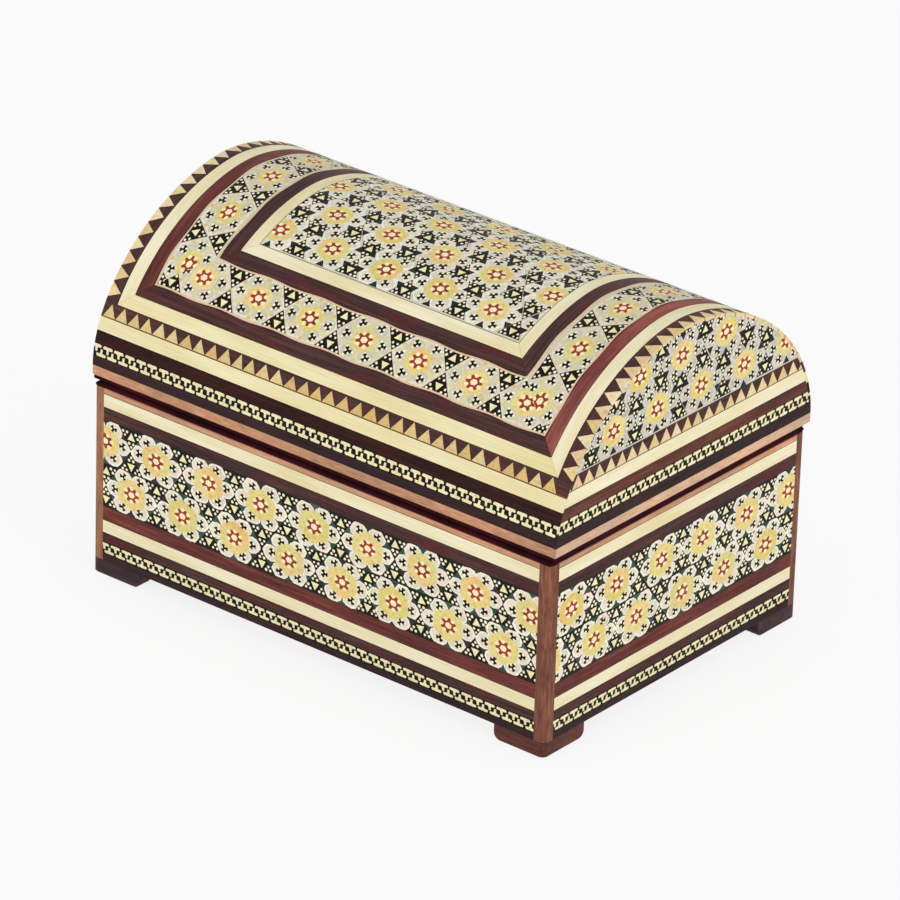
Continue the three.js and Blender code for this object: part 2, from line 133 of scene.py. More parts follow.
def noise(tree: bpy.types.NodeTree, source: Source, stretch: tuple[float, float], detail: float,
          **inputs: float) -> bpy.types.Node:
    """Makes a noise pattern in millimetres.

    Args:
        tree: the material's node tree.
        source: where its coordinates come from.
        stretch: how many pattern units go into one millimetre along and across the grain.
        detail: how many finer layers are added to it.
        **inputs: other inputs of the texture.

    Returns:
        The texture's node.
    """
    if source is Source.PANEL:
        place, unit, axis = add_node(tree, "ShaderNodeUVMap", uv_map="flat"), 1.0, 0
    else:
        place, unit, axis = add_node(tree, "ShaderNodeTexCoord").outputs["Object"], MM, source.value
    scale = [stretch[1] / unit] * 3
    scale[axis] = stretch[0] / unit
    mapped = add_node(tree, "ShaderNodeMapping", {"Vector": place, "Scale": scale})
    return add_node(tree, "ShaderNodeTexNoise", {
        "Vector": mapped, "Scale": 1.0, "Detail": detail, **inputs})


# Finishes


@dataclass(frozen=True)
class Finish:
    """A surface finish. Each kind of finish has looks of its own."""

    name: str
    roughness: float = 0.4
    gloss: float = 0.3

    def material(self) -> bpy.types.Material:
        """Returns the finish's material, made the first time it is asked for."""
        known = bpy.data.materials.get(self.name)
        if known:
            return known
        made = bpy.data.materials.new(self.name)
        tree = fresh_tree(made)
        shader = add_node(tree, "ShaderNodeBsdfPrincipled", {
            "Roughness": self.roughness, "Specular IOR Level": self.gloss, **self.looks(tree)})
        add_node(tree, "ShaderNodeOutputMaterial", {"Surface": shader})
        return made

    def looks(self, tree: bpy.types.NodeTree) -> dict[str, object]:
        """Makes the finish's patterns, and returns the shader inputs that they feed."""
        raise NotImplementedError

    def relief(self, tree: bpy.types.NodeTree, pattern: bpy.types.Node, height: float) -> bpy.types.Node:
        """Returns the bump of a pattern, with its full height in millimetres."""
        return add_node(tree, "ShaderNodeBump", {
            "Height": pattern, "Distance": height * MM, "Strength": 1.0})


@dataclass(frozen=True)
class Veneer(Finish):
    """Sliced or sawn wood: streaks along the grain, slow changes of shade, redder patches and fine pores."""

    deep: str = "#321d1d"
    middle: str = "#48302d"
    light: str = "#62403b"
    source: Source = Source.PANEL
    patch: str = "#5c2f31"
    patches: float = 0.5
    streak: float = 0.9
    length: float = 28.0
    pores: float = 0.25
    height: float = 0.012

    def looks(self, tree: bpy.types.NodeTree) -> dict[str, object]:
        """Colours the wood: (streaks * slow shade, with patches over them) * pores.

        All are noise stretched along the grain, the streaks streak wide and length long. The pores are
        also duller and deeper.
        """
        streaks = noise(tree, self.source, (1 / self.length, 1 / self.streak), 5.0, Roughness=0.62,
                        Distortion=0.25)
        slow = noise(tree, self.source, (0.03, 0.09), 2.0)
        island = noise(tree, self.source, (0.06, 0.3), 3.0)
        pore = noise(tree, self.source, (0.35, 5.0), 3.0)
        wood = add_node(tree, "ShaderNodeValToRGB", {"Fac": streaks}, stops=[
            (0.28, linear(self.deep)), (0.5, linear(self.middle)), (0.74, linear(self.light))])
        shade = add_node(tree, "ShaderNodeValToRGB", {"Fac": slow}, stops=[
            (0.3, (0.74, 0.77, 0.86, 1)), (0.7, (1.22, 1.13, 1.08, 1))])
        toned = add_node(tree, "ShaderNodeMix", {0: 1.0, 6: wood, 7: shade}, **MULTIPLY)
        share = add_node(tree, "ShaderNodeMapRange", {
            "Value": island, "From Min": 0.5, "From Max": 0.68, "To Max": self.patches})
        patched = add_node(tree, "ShaderNodeMix", {
            0: share, 6: toned, 7: linear(self.patch)}, data_type="RGBA")
        dark = 1 - self.pores
        pits = add_node(tree, "ShaderNodeValToRGB", {"Fac": pore}, stops=[
            (0.34, (dark, dark, dark, 1)), (0.5, (1, 1, 1, 1))])
        dull = add_node(tree, "ShaderNodeMapRange", {
            "Value": pore, "From Min": 0.35, "From Max": 0.6,
            "To Min": min(self.roughness + 0.16, 1), "To Max": self.roughness})
        return {
            "Base Color": add_node(tree, "ShaderNodeMix", {0: 1.0, 6: patched, 7: pits}, **MULTIPLY),
            "Roughness": dull,
            "Normal": self.relief(tree, pore, self.height),
        }


@dataclass(frozen=True)
class Bone(Finish):
    """Sawn camel bone: cream, with faint straight growth lines and yellower patches."""

    pale: str = "#f3ebcb"
    warm: str = "#e9dcae"

    def looks(self, tree: bpy.types.NodeTree) -> dict[str, object]:
        """Colours slow patches between the two tones, and multiplies them by fine lines along the strip."""
        patch = noise(tree, Source.PANEL, (0.035, 0.16), 3.0)
        lines = noise(tree, Source.PANEL, (0.05, 3.2), 4.0, Roughness=0.6)
        tone = add_node(tree, "ShaderNodeValToRGB", {"Fac": patch}, stops=[
            (0.32, linear(self.warm)), (0.62, linear(self.pale))])
        shade = add_node(tree, "ShaderNodeValToRGB", {"Fac": lines}, stops=[
            (0.32, (0.9, 0.87, 0.8, 1)), (0.55, (1, 1, 1, 1))])
        return {
            "Base Color": add_node(tree, "ShaderNodeMix", {0: 1.0, 6: tone, 7: shade}, **MULTIPLY),
            "Normal": self.relief(tree, lines, 0.006),
        }


@dataclass(frozen=True)
class Tessera(Finish):
    """Small rods of bone and dyed wood, glued and sliced together: each has its own tint and cut grain."""

    cloud: float = 0.14
    cloud_size: float = 1.6
    cool: str = "#ffffff"
    warm: str = "#ffffff"

    def looks(self, tree: bpy.types.NodeTree) -> dict[str, object]:
        """Takes the tint from the tessera, and clouds it by noise between a cool and a warm cast."""
        tint = add_node(tree, "ShaderNodeVertexColor", layer_name="tint")
        cloud = noise(tree, Source.PANEL, (1 / self.cloud_size, 1 / self.cloud_size), 3.0)
        casts = (self.cool, self.warm)
        cool, warm = ([(1 - self.cloud) * c for c in linear(code)[:3]] + [1] for code in casts)
        cast = add_node(tree, "ShaderNodeValToRGB", {"Fac": cloud}, stops=[
            (0.3, cool), (0.5, (1, 1, 1, 1)), (0.7, warm)])
        return {
            "Base Color": add_node(tree, "ShaderNodeMix", {0: 1.0, 6: tint, 7: cast}, **MULTIPLY),
            "Normal": self.relief(tree, cloud, 0.01),
        }


@dataclass(frozen=True)
class Velvet(Finish):
    """Short cotton pile: nearly black head on, with a red bloom at grazing angles."""

    pile: str = "#27070e"
    bloom: str = "#8c2b3c"

    def looks(self, tree: bpy.types.NodeTree) -> dict[str, object]:
        """Clouds the pile's colour where it was stroked, with the bloom as sheen and the tufts as relief."""
        stroke = noise(tree, Source.ALONG_X, (0.12, 0.12), 4.0)
        tuft = noise(tree, Source.ALONG_X, (3.0, 3.0), 2.0)
        red, green, blue, _ = linear(self.pile)
        colour = add_node(tree, "ShaderNodeValToRGB", {"Fac": stroke}, stops=[
            (0.32, (red * 0.55, green * 0.6, blue * 0.6, 1)),
            (0.68, (red * 2.1, green * 1.7, blue * 1.7, 1))])
        return {
            "Base Color": colour, "Sheen Weight": 0.6, "Sheen Roughness": 0.35,
            "Sheen Tint": linear(self.bloom), "Normal": self.relief(tree, tuft, 0.12),
        }


@dataclass(frozen=True)
class Metal(Finish):
    """Rolled sheet and drawn wire, a little tarnished: warm metal with duller brown patches."""

    bright: str = "#c9a55c"
    dull: str = "#8a6a38"

    def looks(self, tree: bpy.types.NodeTree) -> dict[str, object]:
        """Mixes bright and dull metal by noise, and draws fine rolling lines in its gloss."""
        patch = noise(tree, Source.ALONG_X, (0.12, 0.5), 4.0)
        lines = noise(tree, Source.ALONG_X, (0.2, 6.0), 3.0)
        colour = add_node(tree, "ShaderNodeValToRGB", {"Fac": patch}, stops=[
            (0.35, linear(self.dull)), (0.6, linear(self.bright))])
        gloss = add_node(tree, "ShaderNodeMapRange", {
            "Value": lines, "To Min": self.roughness - 0.1, "To Max": self.roughness + 0.15})
        return {"Base Color": colour, "Metallic": 1.0, "Roughness": gloss}


LACQUER = {"roughness": 0.5, "gloss": 0.1}
OILED = {"roughness": 0.42, "gloss": 0.2}
PLANED = {"roughness": 0.45, "gloss": 0.2}
# Knife-cut rosewood, rubbed flat under thin lacquer: brown-black, with reddish patches between its streaks.
DARK_ROSEWOOD = Veneer("dark_rosewood_veneer_lacquered", **LACQUER, patch="#5e2629", patches=0.7)
# Redder sheets of the same wood: an even red-brown with wide soft streaks.
RED_ROSEWOOD = Veneer("red_rosewood_veneer_lacquered", **LACQUER,
                      deep="#4c241f", middle="#6b372f", light="#8b4b43", streak=1.1, length=22)
# The frame's leg along the right end of the barrel: the same, brighter where the light falls on it.
BRIGHT_ROSEWOOD = replace(RED_ROSEWOOD, name="bright_red_rosewood_veneer_lacquered",
                          deep="#6a332c", middle="#8d4c43", light="#ab665a", patch="#7a3237")
# Sawn strips that the chain lines are let into: a dull dark brown, in which the bone stands out.
CHAIN_ROSEWOOD = Veneer("dark_rosewood_strip_lacquered", **LACQUER,
                        deep="#221515", middle="#322121", light="#442b2a", patch="#33222b")
# Sawn strips along the foot of the barrel: nearly black, with a warm tinge.
WARM_ROSEWOOD = Veneer("warm_rosewood_strip_lacquered", **LACQUER,
                       deep="#170604", middle="#2b100a", light="#421c15", patch="#401215")
# Sawn strips along the arched ends: lighter, with brown streaks that show.
BROWN_ROSEWOOD = Veneer("brown_rosewood_strip_lacquered", **LACQUER,
                        deep="#3b221b", middle="#603a2f", light="#7f4f41", patch="#6e2f26")
# Bone strips sawn from long plates: pale cream with faint lines along the strip.
BONE = Bone("camel_bone_strip_lacquered", **LACQUER)
# Yellowed bone on the front and back of the barrel: the same, warmer.
YELLOW_BONE = replace(BONE, name="camel_bone_yellowed_lacquered", pale="#efe5bb", warm="#e6d8a1")
# Rods cut across: each keeps its dye, with the small clouds of end grain.
TESSERA = Tessera("khatam_rods_sliced_lacquered", **LACQUER, cool="#f5fbe6", warm="#fdefe0")
# Polished bone rods of the petals: a pearly shift between greenish and lilac.
PEARL = replace(TESSERA, name="pearly_bone_rods_lacquered", cloud=0.08, cloud_size=1.1,
                cool="#eef7ee", warm="#f7eefa")
# Planed boards of the walls and the barrel, left raw: pale tan, with short faint streaks.
LIMEWOOD = Veneer("limewood_planed_along_x", roughness=0.5, deep="#ab7350", middle="#cb9672",
                  light="#dcae8a", patch="#c58a68", source=Source.ALONG_X, streak=0.5, length=14, pores=0.2)
LIMEWOOD_ACROSS = replace(LIMEWOOD, name="limewood_planed_along_y", source=Source.ALONG_Y)
# The lid's rim, planed and handled: tan with fine short flecks.
RIM_WOOD = Veneer("limewood_rim_planed", **PLANED, deep="#9c6c4a", middle="#c3926c",
                  light="#dcb08a", patch="#c88a70", streak=0.38, length=5, pores=0.25)
# The rim's right side: the same wood, paler.
RIM_WOOD_PALE = replace(RIM_WOOD, name="limewood_rim_pale_planed", deep="#b98e6c", middle="#d6b290",
                        light="#e8ccae", patch="#dcae94", pores=0.2)
# Corner posts, scraped and oiled: red-brown with open dark pores up the post.
MAHOGANY = Veneer("mahogany_post_oiled", **OILED, deep="#562f22", middle="#804f3a", light="#9c684e",
                  patch="#6a3626", source=Source.ALONG_Z, streak=0.7, length=9, pores=0.5, height=0.03)
# The post at the far left of the front: the same wood, paler and finer.
MAHOGANY_PALE = replace(MAHOGANY, name="mahogany_post_pale_oiled", deep="#7a4a32", middle="#a0704c",
                        light="#bb8a62", patch="#8c5236", streak=0.45, pores=0.3)
# The near foot: dark red wood with open pores.
FOOT_MAHOGANY = Veneer("mahogany_foot_oiled", **OILED, deep="#35191a", middle="#572c20", light="#7a4331",
                       source=Source.ALONG_X, streak=0.8, length=12, pores=0.35, height=0.03)
# The other feet: the same wood, darker, nearly black, with open pores.
FOOT_DARK = replace(FOOT_MAHOGANY, name="mahogany_foot_darker_oiled",
                    deep="#22141a", middle="#33201f", light="#4a2e2a")
# Glued cotton velvet of the lining: deep wine red that drinks the light.
VELVET = Velvet("wine_velvet_pile", roughness=0.95, gloss=0.1)
# Sheet and wire of the hinge: worn yellow metal with brown tarnish.
BRASS = Metal("rolled_brass_tarnished", roughness=0.34, gloss=0.5)


# Sizes


@dataclass(frozen=True)
class CaseSizes:
    """Sizes of the case. Heights are above the ground, and chain_up above the chain strip's lower edge."""

    half_length: float = 80.0
    half_width: float = 55.0
    middle_y: float = -0.25
    bottom: float = 4.6
    chain_up: float = 3.95
    chain_top: float = 13.1
    bone_top: float = 17.1
    mosaic_from: float = 21.2
    mosaic_to: float = 47.9
    rosewood_top: float = 51.4
    inlay_top: float = 55.6
    top: float = 57.0
    post: float = 3.7
    corner_radius: float = 1.8
    wall: float = 5.0
    base: float = 3.5
    foot_reach: float = 17.0
    foot_end_radius: float = 2.0
    inlay: float = 0.9
    mosaic: float = 0.45



@dataclass(frozen=True)
class LidSizes:
    """Sizes of the lid. The borders of its frames are distances up the arch, and out from the middle of the
    barrel. Those of its ends are heights above its bottom edge."""

    half_length: float = 81.0
    half_width: float = 55.0
    middle_y: float = 0.25
    bottom: float = 59.5
    height: float = 49.3
    straight: float = 3.5
    power: float = 1.82
    rim: float = 3.1
    rim_width: float = 4.9
    chain_up: float = 7.9
    bone_from: float = 13.2
    up: tuple[float, ...] = (17.4, 21.5, 26.0, 30.0, 44.0, 48.1, 52.2)
    out: tuple[float, ...] = (81.0, 76.9, 72.4, 68.4, 53.2, 49.1, 45.0)
    end_up: tuple[float, ...] = (3.1, 13.6, 18.0, 22.2)
    end_chain_up: float = 8.35
    inlay: float = 0.9
    mosaic: float = 0.45


CASE = CaseSizes()
LID = LidSizes()


# Faces of the box


class Face:
    """A face that panels are laid on. Flat u runs to the right and v up, as seen from outside."""

    def points(self, flat: np.ndarray, depth: float) -> np.ndarray:
        """Places flat points at a depth under the face.

        Args:
            flat: u and v of each point.
            depth: how far under the face.

        Returns:
            x, y and z of each point.
        """
        raise NotImplementedError

    def normals(self, flat: np.ndarray) -> np.ndarray | None:
        """Returns the outward direction at flat points, or None where the face isn't curved."""
        return None


@dataclass(frozen=True)
class PlaneFace(Face):
    """A flat upright face: point = origin + u * right + v * up - depth * out."""

    origin: tuple[float, float, float]
    right: tuple[float, float, float]
    out: tuple[float, float, float]

    def points(self, flat: np.ndarray, depth: float) -> np.ndarray:
        """Places flat points at a depth under the face."""
        up = np.array((0.0, 0.0, 1.0))
        start = np.array(self.origin) - depth * np.array(self.out)
        return start + flat[:, :1] * np.array(self.right) + flat[:, 1:] * up


class Barrel(Face):
    """The barrel of the lid: u is x, and v the distance s along the arch from the front bottom edge."""

    def __init__(self, sizes: LidSizes) -> None:
        """Measures the arch.

        y = -W * sign(cos t) * abs(cos t) ** (2 / p) and z = straight + rise * sin(t) ** (2 / p) for t from
        0 to 180 degrees, with a short straight part below each end.

        Args:
            sizes: the lid's sizes.
        """
        self.sizes = sizes
        t = np.linspace(0, math.pi, 4001)
        power = 2 / sizes.power
        y = -sizes.half_width * np.sign(np.cos(t)) * np.abs(np.cos(t)) ** power
        z = sizes.straight + (sizes.height - sizes.straight) * np.abs(np.sin(t)) ** power
        self.y = np.concatenate([[-sizes.half_width], y, [sizes.half_width]])
        self.z = np.concatenate([[0.0], z, [0.0]])
        self.s = np.concatenate([[0.0], np.cumsum(np.hypot(np.diff(self.y), np.diff(self.z)))])
        self.length = float(self.s[-1])

    def arch(self, s: np.ndarray, depth: float) -> np.ndarray:
        """Returns y and z above the lid's bottom edge at distances s, a depth under the surface."""
        place = np.stack([np.interp(s, self.s, self.y), np.interp(s, self.s, self.z)], axis=1)
        return place - depth * self.outward(s)

    def outward(self, s: np.ndarray) -> np.ndarray:
        """Returns the outward direction in y and z, from points 1.2 mm before and after s."""
        before, after = np.maximum(s - 1.2, 0), np.minimum(s + 1.2, self.length)
        dy = np.interp(after, self.s, self.y) - np.interp(before, self.s, self.y)
        dz = np.interp(after, self.s, self.z) - np.interp(before, self.s, self.z)
        size = np.hypot(dy, dz)
        return np.stack([-dz / size, dy / size], axis=1)

    def points(self, flat: np.ndarray, depth: float) -> np.ndarray:
        """Places flat points at a depth under the barrel."""
        place = self.arch(flat[:, 1], depth)
        return np.column_stack([flat[:, 0], place + (self.sizes.middle_y, self.sizes.bottom)])

    def normals(self, flat: np.ndarray) -> np.ndarray:
        """Returns the outward direction at flat points."""
        out = self.outward(flat[:, 1])
        return np.concatenate([np.zeros((len(flat), 1)), out], axis=1)

    def outline(self, depth: float, low: float, high: float) -> np.ndarray:
        """Outlines the arch between two heights, as seen from the right end.

        Args:
            depth: how far under the barrel's surface.
            low: the lowest height above the lid's bottom edge.
            high: the highest height.

        Returns:
            The outline, turning left, in y and height.
        """
        s = np.linspace(self.length / 2, self.length, 161)
        side = self.arch(s, depth)
        heights = side[::-1, 1]
        top = min(high, heights[-1])
        level = np.unique(np.clip(np.concatenate([[low], heights, [top]]), low, top))
        reach = np.interp(level, heights, side[::-1, 0])
        right = np.stack([reach, level], axis=1)
        left = right[::-1] * (-1, 1)
        if reach[-1] < 0.5:
            left = left[1:]
        return np.concatenate([right, left])


BARREL = Barrel(LID)
CASE_FACES = {
    "front": (PlaneFace((0, CASE.middle_y - CASE.half_width, 0), (1, 0, 0), (0, -1, 0)), CASE.half_length),
    "back": (PlaneFace((0, CASE.middle_y + CASE.half_width, 0), (-1, 0, 0), (0, 1, 0)), CASE.half_length),
    "left": (PlaneFace((-CASE.half_length, CASE.middle_y, 0), (0, -1, 0), (-1, 0, 0)), CASE.half_width),
    "right": (PlaneFace((CASE.half_length, CASE.middle_y, 0), (0, 1, 0), (1, 0, 0)), CASE.half_width),
}
LID_ENDS = {
    "left": PlaneFace((-LID.half_length, LID.middle_y, LID.bottom), (0, -1, 0), (-1, 0, 0)),
    "right": PlaneFace((LID.half_length, LID.middle_y, LID.bottom), (0, 1, 0), (1, 0, 0)),
}


# Meshes


def make_piece(name: str, points: np.ndarray, faces: Sequence[Sequence[int]], finishes: Sequence[Finish],
               body: str, replaced: Sequence[str] = (), smooth: float | None = None
               ) -> bpy.types.Object:
    """Makes one piece from points and faces, and puts it on the frame.

    Args:
        name: the piece's name.
        points: x, y and z of each point in millimetres.
        faces: point numbers of each face, turning left as seen from outside.
        finishes: the finishes of the piece, in the order of its material slots.
        body: the body that it rides on.
        replaced: the nodes that it stands for.
        smooth: the angle in degrees up to which edges are shaded round, or None for flat faces.

    Returns:
        The new object.
    """
    mesh = bpy.data.meshes.new(name)
    mesh.from_pydata((np.asarray(points, float) * MM).tolist(), [], [list(map(int, f)) for f in faces])
    mesh.update()
    for finish in finishes:
        mesh.materials.append(finish.material())
    if smooth is not None:
        mesh.shade_smooth()
        mesh.set_sharp_from_angle(angle=math.radians(smooth))
    piece = add_object(name, mesh)
    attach(piece, body)
    if replaced:
        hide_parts(*replaced)
    LOG.info("%s: %d points, %d faces", name, len(mesh.vertices), len(mesh.polygons))
    return piece


def write_corners(mesh: bpy.types.Mesh, flat: np.ndarray, tints: np.ndarray | None = None) -> None:
    """Writes the flat coordinates and tints of a mesh's face corners."""
    layer = mesh.uv_layers.new(name="flat")
    layer.data.foreach_set("uv", np.asarray(flat, np.float32).ravel())
    if tints is not None:
        colours = mesh.color_attributes.new(name="tint", type="FLOAT_COLOR", domain="CORNER")
        full = np.ones((len(tints), 4), np.float32)
        full[:, :3] = tints
        colours.data.foreach_set("color", full.ravel())


def rectangle(left: float, low: float, right: float, high: float) -> np.ndarray:
    """Returns the outline of a rectangle, turning left."""
    return np.array([(left, low), (right, low), (right, high), (left, high)], float)


def ngon(count: int, radius: float, turn: float = 0.0, centre: Sequence[float] = (0.0, 0.0)) -> np.ndarray:
    """Returns a regular outline: count corners at a radius, the first at an angle in degrees."""
    angles = np.radians(turn + np.arange(count) * 360 / count)
    return np.stack([centre[0] + radius * np.cos(angles), centre[1] + radius * np.sin(angles)], axis=1)


def polar(radius: float, degrees: float) -> np.ndarray:
    """Returns the flat point at a radius and an angle in degrees."""
    return radius * np.array((math.cos(math.radians(degrees)), math.sin(math.radians(degrees))))


def turned(outline: np.ndarray, degrees: float) -> np.ndarray:
    """Turns flat points about the origin by an angle in degrees."""
    c, s = math.cos(math.radians(degrees)), math.sin(math.radians(degrees))
    return outline @ np.array([(c, s), (-s, c)])


# What a panel's cutting keeps: what lies inside of outlines, points at least so many mm apart, and
# triangles whose doubled area is larger, in mm2.
INSIDE, CLOSEST, SMALLEST = 1, 1e-4, 1e-7


class Panel:
    """A sheet or strip of the covering. Its tesserae are laid one over another, and what stays in sight of
    each becomes its faces, so that the finished panel is one flush surface with no overlaps."""

    def __init__(self, name: str, face: Face, regions: Iterable[np.ndarray], depths: tuple[float, float],
                 lines: float | None = None) -> None:
        """Starts a panel.

        Args:
            name: the piece's name.
            face: the face that it lies on.
            regions: the outlines that it covers. A tessera shows only inside its own region.
            depths: how far under the face its upper and lower surfaces are.
            lines: how far apart extra lines across v are, so that it can bend, or None.
        """
        self.name = name
        self.face = face
        self.regions: list[np.ndarray] = []
        self.boxes: list[tuple[np.ndarray, np.ndarray]] = []
        for region in regions:
            self.add_region(region)
        self.depths = depths
        self.lines = lines
        self.outlines: list[np.ndarray] = []
        self.tints: list[tuple[float, float, float]] = []
        self.finishes: list[Finish] = []
        self.homes: list[int] = []
        self.crosswise: list[bool] = []

    def add_region(self, region: np.ndarray) -> None:
        """Adds the outline of one more region."""
        self.regions.append(np.asarray(region, float))
        self.boxes.append((region.min(axis=0), region.max(axis=0)))

    def lay(self, outline: np.ndarray, tint: Tint, finish: Finish, home: int = 0,
            crosswise: bool = False) -> None:
        """Lays one tessera over what is there.

        Args:
            outline: its outline in the panel's coordinates.
            tint: its colour, as a hex code or as linear numbers.
            finish: its finish.
            home: the number of the region that it shows in.
            crosswise: whether its grain runs along v, not u.
        """
        low, high = self.boxes[home]
        if (outline.max(axis=0) < low).any() or (outline.min(axis=0) > high).any():
            return
        after = np.roll(outline, -1, axis=0)
        if (outline[:, 0] * after[:, 1] - outline[:, 1] * after[:, 0]).sum() < 0:
            outline = outline[::-1]
        self.outlines.append(outline)
        self.tints.append(linear(tint)[:3] if isinstance(tint, str) else tuple(tint[:3]))
        self.finishes.append(finish)
        self.homes.append(home)
        self.crosswise.append(crosswise)

    def cover(self, tint: Tint, finish: Finish, home: int = 0, crosswise: bool = False) -> None:
        """Covers a whole region with one ground."""
        self.lay(self.regions[home], tint, finish, home, crosswise)

    def cover_frame(self, tint: Tint, finish: Finish) -> None:
        """Covers a frame's regions, the odd ones of which are its upright legs."""
        for home in range(len(self.regions)):
            self.cover(tint, finish, home, home % 2 == 1)

    def partition(self) -> tuple[np.ndarray, np.ndarray, np.ndarray]:
        """Cuts the regions along all outlines.

        Returns:
            The flat points, the triangles, and the number of the uppermost tessera of each triangle.
        """
        outlines = self.regions + self.outlines
        counts = np.array([len(outline) for outline in outlines])
        starts = np.concatenate([[0], np.cumsum(counts)])
        points = np.concatenate(outlines)
        rings = [list(range(starts[i], starts[i + 1])) for i in range(len(outlines))]
        edges: list[tuple[int, int]] = []
        if self.lines:
            low = np.min([box[0] for box in self.boxes], axis=0)
            high = np.max([box[1] for box in self.boxes], axis=0)
            levels = np.arange(low[1] + self.lines / 2, high[1], self.lines)
            ends = [((low[0] - 1, v), (high[0] + 1, v)) for v in levels]
            first = len(points)
            points = np.concatenate([points, np.array(ends).reshape(-1, 2)])
            edges = [(first + 2 * i, first + 2 * i + 1) for i in range(len(levels))]
        spots, _, cells, _, _, covers = delaunay_2d_cdt(
            [Vector(p) for p in points.tolist()], edges, rings, INSIDE, CLOSEST, True)
        grounds = len(self.regions)
        triangles: list[Sequence[int]] = []
        owners: list[int] = []
        for triangle, over in zip(cells, covers):
            inside = {i for i in over if i < grounds}
            shown = [i - grounds for i in over if i >= grounds and self.homes[i - grounds] in inside]
            if shown and len(triangle) == 3:
                triangles.append(triangle)
                owners.append(max(shown))
        flat = np.array([tuple(p) for p in spots])
        corners = np.array(triangles)
        a, b, c = (flat[corners[:, i]] for i in range(3))
        area = (b[:, 0] - a[:, 0]) * (c[:, 1] - a[:, 1]) - (b[:, 1] - a[:, 1]) * (c[:, 0] - a[:, 0])
        keep = np.abs(area) > SMALLEST
        corners = np.where((area < 0)[:, None], corners[:, ::-1], corners)[keep]
        used, renumbered = np.unique(corners, return_inverse=True)
        return flat[used], renumbered.reshape(-1, 3), np.array(owners)[keep]

    def build(self, body: str, slot: str, node: str) -> bpy.types.Object:
        """Lays the panel on its face as a closed slab.

        Args:
            body: the body that it rides on.
            slot: the record's material slot; not used.
            node: the node that it stands for.

        Returns:
            The panel's object.
        """
        flat, top, owners = self.partition()
        count = len(flat)
        sides = np.concatenate([top[:, [0, 1]], top[:, [1, 2]], top[:, [2, 0]]])
        side_owner = np.tile(owners, 3)
        keys = sides[:, 0] * count + sides[:, 1]
        lone = ~np.isin(keys, sides[:, 1] * count + sides[:, 0])
        rim, rim_owner = sides[lone], side_owner[lone]
        walls = np.stack([rim[:, 0], rim[:, 0] + count, rim[:, 1] + count, rim[:, 1]], axis=1)
        bottom = top[:, ::-1] + count
        points = np.concatenate([self.face.points(flat, depth) for depth in self.depths])
        faces = top.tolist() + bottom.tolist() + walls.tolist()
        finishes = list(dict.fromkeys(self.finishes))
        piece = make_piece(self.name, points, faces, finishes, body, [node])
        mesh = piece.data
        numbers = np.array([finishes.index(finish) for finish in self.finishes])
        faces_owner = np.concatenate([owners, owners, rim_owner])
        mesh.polygons.foreach_set("material_index", numbers[faces_owner].astype(np.int32))
        corner_points = np.concatenate([top.ravel(), bottom.ravel(), walls.ravel()]) % count
        sizes = np.concatenate([np.full(2 * len(top), 3), np.full(len(walls), 4)])
        corner_owner = np.repeat(faces_owner, sizes)
        uv = flat[corner_points]
        crosswise = np.array(self.crosswise)[corner_owner]
        uv = np.where(crosswise[:, None], uv[:, ::-1], uv)
        write_corners(mesh, uv, np.array(self.tints)[corner_owner])
        out = self.face.normals(flat)
        if out is not None:
            a, b = points[walls[:, 0]], points[walls[:, 3]]
            across = np.cross(points[walls[:, 1]] - a, b - a)
            across /= np.maximum(np.linalg.norm(across, axis=1, keepdims=True), 1e-9)
            normals = np.concatenate([
                out[top.ravel()], -out[bottom.ravel() % count], np.repeat(across, 4, axis=0)])
            mesh.shade_smooth()
            mesh.normals_split_custom_set(normals.tolist())
        return piece


def glue_lines(panel: Panel, *edges: Sequence[Sequence[float]], home: int = 0, width: float = 0.17) -> None:
    """Lays the thin dark glue line that shows where a light strip meets dark wood.

    Args:
        panel: the panel that gets it.
        *edges: edges of the strip, each from one end to the other with the strip on its left.
        home: the region that it shows in.
        width: how wide the line is.
    """
    for start, end in edges:
        a, b = np.array(start, float), np.array(end, float)
        inward = np.array((a[1] - b[1], b[0] - a[0])) / np.linalg.norm(b - a) * width
        panel.lay(np.array([a, b, b + inward, a + inward]), "#241512", TESSERA, home)


def build_bone(panel: Panel, finish: Finish, span: tuple[float, float, float], body: str,
               node: str) -> None:
    """Builds a bone strip, with a glue line along its lower and its upper edge.

    Args:
        panel: the strip's empty panel.
        finish: its finish.
        span: half its length, and where its lower and upper edges are.
        body: the body that it rides on.
        node: the node that it stands for.
    """
    reach, low, high = span
    panel.cover("#efe4bd", finish)
    glue_lines(panel, ((-reach, low), (reach, low)), ((reach, high), (-reach, high)))
    panel.build(body, "ivory_inlay", node)


# Patterns


@dataclass(frozen=True)
class Laying:
    """Where a pattern goes in a region of a panel: local x runs along it and local y to its left."""

    panel: Panel
    origin: tuple[float, float]
    angle: float = 0.0
    home: int = 0
    squeeze: float = 1.0

    def place(self, outline: np.ndarray) -> np.ndarray:
        """Turns local points into the panel's own: squeeze y, turn by the angle, move to the origin."""
        c, s = math.cos(math.radians(self.angle)), math.sin(math.radians(self.angle))
        x, y = outline[:, 0], outline[:, 1] * self.squeeze
        return np.stack([self.origin[0] + c * x - s * y, self.origin[1] + s * x + c * y], axis=1)

    def along(self, flat: np.ndarray) -> np.ndarray:
        """Returns how far along the pattern's own x the panel's points lie."""
        c, s = math.cos(math.radians(self.angle)), math.sin(math.radians(self.angle))
        return (flat - self.origin) @ np.array((c, s))

    def lay(self, outline: np.ndarray, tint: Tint, finish: Finish = TESSERA) -> None:
        """Lays one tessera, given by its local outline."""
        self.panel.lay(self.place(outline), tint, finish, self.home)


def shaded(rng: np.random.Generator, code: str, darker: float, lighter: float) -> tuple[float, ...]:
    """Returns a colour, darker or lighter by chance."""
    factor = 1 + rng.uniform(-darker, lighter)
    return tuple(min(c * factor, 1.0) for c in linear(code)[:3])


